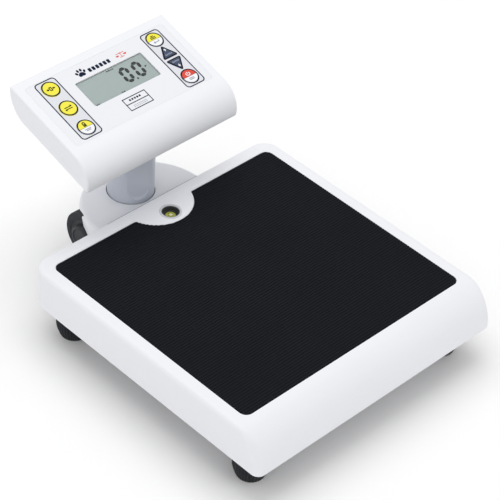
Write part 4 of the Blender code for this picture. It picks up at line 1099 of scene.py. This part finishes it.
def key_outline(name, grow):
    """A key's outline on the face, grown by a margin."""
    if name in ROUND_KEYS:
        return circle(ROUND_KEYS[name], KEY_RADIUS + grow, 64)
    x, slope, way = ARROW_KEYS[name]
    foot, tip = slope - way * ARROW_HEIGHT / 2, slope + way * ARROW_HEIGHT / 2
    corners = [(x - ARROW_HALF, foot), (x + ARROW_HALF, foot), (x, tip)][::way]
    return inset(rounded(corners, ARROW_ROUND, 6), -grow)


ALL_KEYS = list(ROUND_KEYS) + list(ARROW_KEYS)


def film_outline(grow):
    """The face film's outline, grown by a margin."""
    x0, x1, u0, u1 = OVERLAY
    return rounded_box(x0 - grow, x1 + grow, u0 - grow, u1 + grow, FILM_CORNER)


def face_cuts():
    """Cutting shapes for the window and for every key."""
    opening = plate("opening", rounded_box(*WINDOW, WINDOW_CORNER), -THROUGH, THROUGH)
    return [opening] + [plate("key_hole", key_outline(name, GAP), -THROUGH, THROUGH) for name in ALL_KEYS]


def head_case():
    """Hollow white head, open below, with the film's recess in its face."""
    side = HEAD_HALF - HEAD_WALL
    hollow = [[(x, slope, height) for slope, height in head_profile(HOLLOW_TOP, HEAD_WALL, True)]
              for x in (-side, side)]
    tools = [rings_mesh("hollow", hollow), plate("recess", film_outline(GAP), -FILM_RECESS, THROUGH)]
    add_piece("head_case", carve(head_skin(), tools + face_cuts()), SHELL, "head", HEAD,
              replaces=["head_shell"])


def face_film():
    """Printed film on the face, with holes for the window and the keys."""
    film = plate("film", film_outline(SNUG), -FILM_THICK, 0, FILM_EDGE)
    add_piece("face_film", carve(film, face_cuts()), FILM, "head", HEAD,
              replaces=["face_overlay"])
    for side, corners in STRIPS.items():
        outline = rounded_box(*corners, STRIP_CORNER)
        holes = [plate("key_hole", key_outline(name, STRIP_CLEAR), -MM, MM) for name in ALL_KEYS
                 if (name in ARROW_KEYS and side == "right") or f"key_{side}" in name]
        fill = carve(plate("fill", inset(outline, STRIP_INSET), -INK, INK), holes)
        add_piece(f"key_strip_{side}", fill, STRIP_INK, "head", HEAD)
        add_piece(f"key_strip_line_{side}", border("line", outline, OUTLINE_WIDTH, -INK, 1.2 * INK),
                  NAVY_INK, "head", HEAD)
    label()
    paw_print()


def label():
    """A boxed label in two rows, each with a row of short plain bars."""
    x0, x1, u0, u1 = LABEL
    middle = (u0 + u1) / 2
    divider = rounded_box(x0 + LABEL_CORNER, x1 - LABEL_CORNER, middle - LABEL_LINE / 2,
                          middle + LABEL_LINE / 2, 0.1 * MM, 2)
    parts = [border("box", rounded_box(x0, x1, u0, u1, LABEL_CORNER, 2), LABEL_LINE, -INK, INK),
             plate("divider", divider, -INK, 0.9 * INK)]
    for k in range(5):
        x = x0 + (7.5 + 3.0 * k) * MM
        parts.append(bar(x, middle + 3.9 * MM, 2.0 * MM, 2.2 * MM))
    add_piece("face_label", joined("label", [(part, NAVY_INK) for part in parts]), None, "head",
              HEAD)
    small = [bar(x0 + (7.0 + 2.1 * k) * MM, middle - (3.0 + 1.9 * row) * MM, 1.3 * MM, 0.9 * MM)
             for row in range(2) for k in range(8)]
    add_piece("face_label_lines", joined("lines", [(part, STRIP_LINE) for part in small]), None, "head",
              HEAD)


def bar(x, slope, width, height, level=0.9 * INK):
    """A short printed bar centred on a place of the face."""
    outline = rounded_box(x - width / 2, x + width / 2, slope - height / 2, slope + height / 2,
                          0.2 * min(width, height), 2)
    return plate("bar", outline, -INK, level)


def paw_print():
    """A plain paw and a small balance, printed above the display."""
    parts = []
    x, slope, size = -25 * MM, 27.5 * MM, 3.5 * MM
    pad = [(1.0, -0.75), (1.15, -0.2), (0.55, 0.45), (0, 0.62), (-0.55, 0.45), (-1.15, -0.2), (-1.0, -0.75),
           (-0.4, -0.85), (0, -0.7), (0.4, -0.85)]
    parts.append(plate("pad", rounded([(x + a * size, slope + b * size) for a, b in pad], 1.2 * MM, 5),
                       -INK, INK))
    for across, up, turn in ((-1.3, 0.55, 25), (-0.5, 1.25, 8), (0.5, 1.25, -8), (1.3, 0.55, -25)):
        toe = quarter((0, 0), 0.36 * size, 0.52 * size, 0, 360, 2, 24)[:-1]
        c, s = math.cos(math.radians(turn)), math.sin(math.radians(turn))
        toe = [(x + across * size + a * c - b * s, slope + up * size + a * s + b * c) for a, b in toe]
        parts.append(plate("toe", toe, -INK, INK))
    for k in range(6):
        parts.append(bar(x + (10 + 4.6 * k) * MM, slope, 3.3 * MM, 4.6 * MM))
    add_piece("face_paw", joined("paw", [(part, NAVY_INK) for part in parts]), None, "head", HEAD)
    x, slope = 24 * MM, 28 * MM
    strokes = [[(x - 5 * MM, slope + 2 * MM), (x + 5 * MM, slope + 2 * MM)],
               [(x, slope + 3 * MM), (x, slope - 2.6 * MM)],
               [(x - 2.6 * MM, slope - 2.8 * MM), (x + 2.6 * MM, slope - 2.8 * MM)]]
    parts = [plate("stroke", ribbon(stroke, 0.65 * MM), -INK, INK + 0.004 * MM * n)
             for n, stroke in enumerate(strokes)]
    for way in (-1, 1):
        bowl = arc((x + way * 4.6 * MM, slope + 0.3 * MM), 1.9 * MM, 180, 360, 10)
        parts.append(plate("bowl", bowl, -INK, INK))
    add_piece("face_balance", joined("balance", [(part, RED_INK) for part in parts]), None, "head",
              HEAD)


def key_icon(name):
    """Strokes of each key's plain symbol, in millimetres about the key's middle."""
    icons = {
        "key_left_upper": [[(-5.2, 0), (-2.6, 0)], [(5.2, 0), (2.6, 0)], [(-3.6, 1), (-2.4, 0), (-3.6, -1)],
                           [(3.6, 1), (2.4, 0), (3.6, -1)],
                           [(-1.1, -1.9), (1.1, -1.9), (1.1, 1.9), (-1.1, 1.9), (-1.1, -1.9)]],
        "key_left_middle": [[(-4.2, 1.1), (4.2, 1.1)], [(2.7, 2.5), (4.4, 1.1)], [(-4.2, -1.1), (4.2, -1.1)],
                            [(-2.7, -2.5), (-4.4, -1.1)]],
        "key_left_lower": [[(-1.9, 1.2), (1.9, 1.2)], [(-1.9, 2.3), (1.9, 2.3)], [(-1.9, 3.4), (1.9, 3.4)],
                           [(-1.2, 3.6), (-1.2, 5.2), (0, 6.0), (1.2, 5.2), (1.2, 3.6)],
                           [(-3.6, -2.4), (3.6, -2.4)], [(-2.6, -3.9), (2.6, -3.9)]],
        "key_right_upper": [[(-3.2, 1.6), (3.2, 1.6)], [(-3.2, 3.2), (3.2, 3.2)], [(-1.8, 4.8), (1.8, 4.8)],
                            [(3.0, -1.4), (3.0, -3.2), (-3.0, -3.2)],
                            [(-1.6, -2.0), (-3.1, -3.2), (-1.6, -4.4)]],
        "key_right_lower": [[(-1.5, 4.6), (-2.3, 3.4), (-1.8, 1.9), (0, 1.2), (1.8, 1.9), (2.3, 3.4),
                             (1.5, 4.6)],
                            [(0, 5.6), (0, 3.2)], [(-3.0, -2.4), (3.0, -2.4)], [(-3.0, -4.0), (3.0, -4.0)]],
    }
    return [[(x * MM, u * MM) for x, u in stroke] for stroke in icons[name]]


def round_key(name, upper, lower, icon_ink):
    """A round key with a navy rim, a two-colour face and a symbol."""
    x, slope = ROUND_KEYS[name]
    top = KEY_PROUD
    outline = circle((0, 0), KEY_RADIUS, 72)
    parts = [(plate("body", outline, top - KEY_THICK, top, 0.3 * MM), lower)]
    parts.append((border("rim", circle((0, 0), KEY_RADIUS - 0.1 * MM, 72), RIM_WIDTH, top - 0.3 * MM,
                         top + 0.6 * INK), NAVY_INK))
    if upper is not lower:
        half = arc((0, 0), KEY_RADIUS - 0.9 * MM, 0, 180, 40)
        parts.append((plate("upper", half, top - INK, top + 0.35 * INK), upper))
        line = [(-KEY_RADIUS + MM, -0.15 * MM), (KEY_RADIUS - MM, -0.15 * MM),
                (KEY_RADIUS - MM, 0.15 * MM), (-KEY_RADIUS + MM, 0.15 * MM)]
        parts.append((plate("line", line, top - INK, top + 0.5 * INK), NAVY_INK))
    for n, stroke in enumerate(key_icon(name)):
        ink = icon_ink if stroke[0][1] > 0 or upper is lower else STRIP_LINE
        level = top + (0.8 + 0.06 * n) * INK
        parts.append((plate("stroke", ribbon(stroke, ICON_STROKE), top - INK, level), ink))
    add_piece(f"{name}_film", joined(name, parts), None, name, HEAD @ shift(x, slope, 0),
              replaces=[name])


def arrow_key(name):
    """A three-cornered key with a darker rim, a white arrow and two rows of ticks."""
    x, slope, way = ARROW_KEYS[name]
    top = KEY_PROUD
    outline = [(a - x, b - slope) for a, b in key_outline(name, 0)]
    parts = [(plate("body", outline, top - KEY_THICK, top, 0.25 * MM), NAVY_FILM),
             (border("rim", inset(outline, 0.15 * MM), 1.1 * MM, top - 0.3 * MM, top + 0.6 * INK), BLACK_INK)]
    tip = way * 3.4 * MM
    head = [(-1.5 * MM, tip - way * 1.7 * MM), (1.5 * MM, tip - way * 1.7 * MM), (0, tip)][::way]
    parts.append((plate("arrow", head, top - INK, top + 0.8 * INK), WHITE_FILM))
    shaft = ribbon([(0, tip - way * 1.5 * MM), (0, tip - way * 3.4 * MM)], 1.0 * MM)
    parts.append((plate("shaft", shaft, top - INK, top + 0.7 * INK), WHITE_FILM))
    for k in range(-2, 3):
        tick = bar(k * 1.7 * MM, -way * 4.1 * MM, 1.0 * MM, 1.7 * MM, 0.0)
        parts.append((moved(tick, shift(0, 0, top + 0.7 * INK)), STRIP_LINE))
    add_piece(f"{name}_film", joined(name, parts), None, name, HEAD @ shift(x, slope, 0),
              replaces=[name])


def keys():
    round_key("key_left_upper", YELLOW_FILM, YELLOW_FILM, BLACK_INK)
    round_key("key_left_middle", YELLOW_FILM, YELLOW_FILM, BLACK_INK)
    round_key("key_left_lower", YELLOW_FILM, WHITE_FILM, BLACK_INK)
    round_key("key_right_upper", YELLOW_FILM, WHITE_FILM, BLACK_INK)
    round_key("key_right_lower", RED_INK, WHITE_FILM, WHITE_FILM)
    for name in ARROW_KEYS:
        arrow_key(name)


def digit(x, low, width, height, stroke, lean):
    """The six lit segments of a nought, each a six-sided bar with a gap at its ends."""
    gap = 0.09 * stroke
    mid, half = low + height / 2, stroke / 2
    runs = []
    for side in (x + half, x + width - half):
        runs.append((side, low + half, side, mid))
        runs.append((side, mid, side, low + height - half))
    for level in (low + half, low + height - half):
        runs.append((x + half, level, x + width - half, level))
    outlines = []
    for ax, au, bx, bu in runs:
        a, b = Vector((ax, au)), Vector((bx, bu))
        along = (b - a).normalized()
        across = Vector((-along.y, along.x)) * half
        a, b = a + along * gap, b - along * gap
        points = [a, a + along * half - across, b - along * half - across, b,
                  b - along * half + across, a + along * half + across]
        outlines.append([(p.x + (p.y - low) * lean, p.y) for p in points])
    return outlines


def display():
    """Lit segments and small marks on the display glass, under the clear window."""
    lift = shift(0, 0, GLASS_TOP)
    outlines = []
    for x in DIGIT_STARTS:
        outlines += digit(x, DIGIT_FOOT, DIGIT_WIDTH, DIGIT_HEIGHT, DIGIT_STROKE, DIGIT_LEAN)
    parts = [plate("segment", outline, GLASS_TOP - INK, GLASS_TOP + INK) for outline in outlines]
    parts.append(moved(bar(*POINT), lift))
    marks = [(-0.9, 18.4, 1.8, 1.2), (1.5, 18.4, 2.0, 1.2), (3.9, 18.4, 1.8, 1.2), (6.0, 18.4, 1.4, 1.2),
             (37.2, 5.8, 2.6, 1.0), (36.4, 5.0, 1.0, 1.0), (-4.2, -9.2, 1.5, 1.3), (-1.8, -9.2, 1.7, 1.3),
             (-35.8, -9.6, 1.6, 1.4), (-33.6, -9.6, 1.8, 1.4)]
    for x, slope, width, height in marks:
        parts.append(moved(bar(x * MM, slope * MM, width * MM, height * MM), lift))
    add_piece("display_segments", joined("segments", [(part, BLACK_INK) for part in parts]), None, "head",
              HEAD)


def hatch_corners(grow):
    """The low and high (x, slope) corners of the battery opening: four cells side by side."""
    half_x = CELL_PITCH * 2 + 1.0 * MM + grow
    half_u = CELL_LENGTH / 2 + 0.8 * MM + grow
    return (HATCH_X - half_x, HATCH_U - half_u), (HATCH_X + half_x, HATCH_U + half_u)


def battery_hatch():
    """Rear cover and battery door with a rounded rim, grip ribs and screws."""
    upside_down = Matrix.Rotation(math.pi, 4, "X")
    turn_over = shift(0, 0, -HEAD_THICK) @ upside_down
    inner = HEAD_WALL + GAP
    outline = rounded_box(-HEAD_HALF + inner, HEAD_HALF - inner, HEAD_FRONT + inner, BACK_PLATE_END, 2 * MM)
    below = [(x, -u) for x, u in reversed(outline)]
    cover_plate = moved(plate("cover", below, -BACK_PLATE_THICK, 0, BACK_PLATE_EDGE), turn_over)
    low, high = hatch_corners(HATCH_GAP)
    opening = block((low[0], low[1], -0.04), (high[0], high[1], -0.02))
    wells = [moved(turned("well", [(SCREW_WELL, -SCREW_WELL_DEPTH), (SCREW_WELL, PAST)], 32),
                   shift(x, u, -HEAD_THICK) @ upside_down) for x, u in HEAD_SCREWS]
    add_piece("head_back_plate", carve(cover_plate, [opening] + wells), SHELL, "head",
              HEAD, replaces=["head_rear_cover"])
    for number, (x, u) in enumerate(HEAD_SCREWS):
        place = HEAD @ shift(x, u, -HEAD_THICK + 1.15 * MM) @ upside_down
        screw = screw_mesh(HEAD_SCREW_RADIUS, HEAD_SCREW_HEIGHT)
        add_piece(f"head_screw_{number + 1}", screw, STEEL, "head", place)
    low, high = hatch_corners(0)
    panel = rounded_box(low[0], high[0], -high[1], -low[1], HATCH_CORNER, 4)
    parts = [plate("door", panel, -HATCH_THICK, 0, HATCH_EDGE)]
    middle, first = (low[0] + high[0]) / 2, -low[1] - 5 * MM
    for k in range(GRIP_RIBS):
        start = first - k * GRIP_PITCH
        parts.append(block((middle - GRIP_HALF, start, -0.2 * MM),
                           (middle + GRIP_HALF, start + GRIP_WIDTH, 0.35 * MM), 0.15 * MM))
    mesh = moved(joined("door", [(part, SHELL) for part in parts]), turn_over)
    add_piece("battery_hatch", mesh, None, "battery_door", HEAD, replaces=["battery_door"])


def screw_mesh(radius, height):
    """A pan head with a crossed recess."""
    profile = [(0, -height), (radius, -height), (radius, -0.2 * height), (0.8 * radius, 0.25 * height),
               (0.35 * radius, 0.5 * height), (0, 0.5 * height)]
    arm, half = 0.62 * radius, 0.13 * radius
    cuts = [block((-arm, -half, -0.2 * height), (arm, half, height)),
            block((-half, -arm, -0.2 * height), (half, arm, height))]
    return carve(turned("screw", profile, 40), cuts)


def tray_screws():
    """Screws under the platform, each with a crossed recess."""
    for side in SIDES:
        for end in ("front", "rear"):
            name = f"tray_screw_{side}_{end}"
            low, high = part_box(name)
            x, y = (low.x + high.x) / 2, (low.y + high.y) / 2
            head = moved(screw_mesh(4 * MM, 1.9 * MM), shift(0, 0, 1 * MM))
            shank = [(0, -12 * MM), (1.0 * MM, -11.9 * MM)]
            for k in range(12):
                shank += [(1.6 * MM, (-11.5 + 0.85 * k) * MM), (1.25 * MM, (-11.1 + 0.85 * k) * MM)]
            shank += [(1.6 * MM, -0.9 * MM), (0, -0.9 * MM)]
            mesh = joined("screw", [(head, STEEL), (turned("shank", shank, 20), STEEL)])
            place = shift(x, y, low.z + 2 * MM) @ Matrix.Rotation(math.pi, 4, "X")
            add_piece(f"{name}_finish", moved(mesh, place), None, "platform", replaces=[name])


def foot_studs():
    """Threaded studs that raise and lower the feet."""
    for foot in FEET:
        name = f"foot_stud_{foot}"
        low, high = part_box(name)
        radius = (high.x - low.x) / 2
        end, root = radius - THREAD_END, radius - THREAD_DEPTH
        profile = [(0, low.z), (end, low.z)]
        height = low.z + 0.4 * MM
        while height < high.z - THREAD_PITCH:
            profile += [(radius, height), (radius, height + 0.15 * THREAD_PITCH),
                        (root, height + 0.5 * THREAD_PITCH), (root, height + 0.65 * THREAD_PITCH)]
            height += THREAD_PITCH
        profile += [(end, high.z), (0, high.z)]
        place = shift((low.x + high.x) / 2, (low.y + high.y) / 2, 0)
        add_piece(f"{name}_thread", moved(turned("stud", profile, 32), place), STEEL, f"foot_stud_{foot}",
                  replaces=[name])


# ---- floor, light, camera --------------------------------------------------
def studio():
    """Pale floor, soft overhead light and a bright surround."""
    floor_mesh = bpy.data.meshes.new("floor")
    reach = 6.0
    floor_mesh.from_pydata([(-reach, -reach, 0), (reach, -reach, 0), (reach, reach, 0), (-reach, reach, 0)],
                           [], [(0, 1, 2, 3)])
    floor = bpy.data.objects.new("studio_floor", floor_mesh)
    bpy.context.scene.collection.objects.link(floor)
    pale = bpy.data.materials.new("studio_pale")
    pale.use_nodes = True
    shader = pale.node_tree.nodes["Principled BSDF"]
    shader.inputs["Base Color"].default_value = (0.97, 0.97, 0.97, 1)
    shader.inputs["Roughness"].default_value = 0.9
    shader.inputs["Specular IOR Level"].default_value = 0.1
    floor_mesh.materials.append(pale)
    world = bpy.data.worlds.new("studio")
    world.use_nodes = True
    world.node_tree.nodes["Background"].inputs["Color"].default_value = (1.0, 1.0, 1.0, 1)
    world.node_tree.nodes["Background"].inputs["Strength"].default_value = 0.665
    bpy.context.scene.world = world
    for name, where, size, power in (("overhead", (0.2, 0.6, 2.6), 2.4, 30.0),
                                     ("left_fill", (-2.2, -1.3, 1.3), 2.0, 10.0),
                                     ("right_fill", (2.0, -2.0, 1.2), 2.0, 7.0)):
        lamp = bpy.data.lights.new(name, "AREA")
        lamp.energy = power
        lamp.size = size
        item = bpy.data.objects.new(name, lamp)
        item.location = where
        item.rotation_euler = (Vector((0, 0, 0.05)) - Vector(where)).to_track_quat("-Z", "Y").to_euler()
        bpy.context.scene.collection.objects.link(item)
    bpy.context.scene.view_settings.view_transform = "Standard"


def camera():
    """Looking down on the front left of the scale with a long lens."""
    lens = bpy.data.cameras.new("camera")
    lens.sensor_width = 36.0
    lens.lens = 152.35
    lens.clip_start, lens.clip_end = 0.1, 20.0
    item = bpy.data.objects.new("camera", lens)
    item.location = (-1.08215, -1.05904, 1.36155)
    item.rotation_euler = [math.radians(a) for a in (49.749, -3.1116, -43.779)]
    bpy.context.scene.collection.objects.link(item)
    bpy.context.scene.camera = item


camera()
finish_packed_nodes()
cover()
ribbed_mat()
spirit_level()
foot_pads()
foot_studs()
tray_screws()
neck_housing()
housing_seal()
wheels()
column()
head_case()
face_film()
keys()
display()
battery_hatch()
studio()
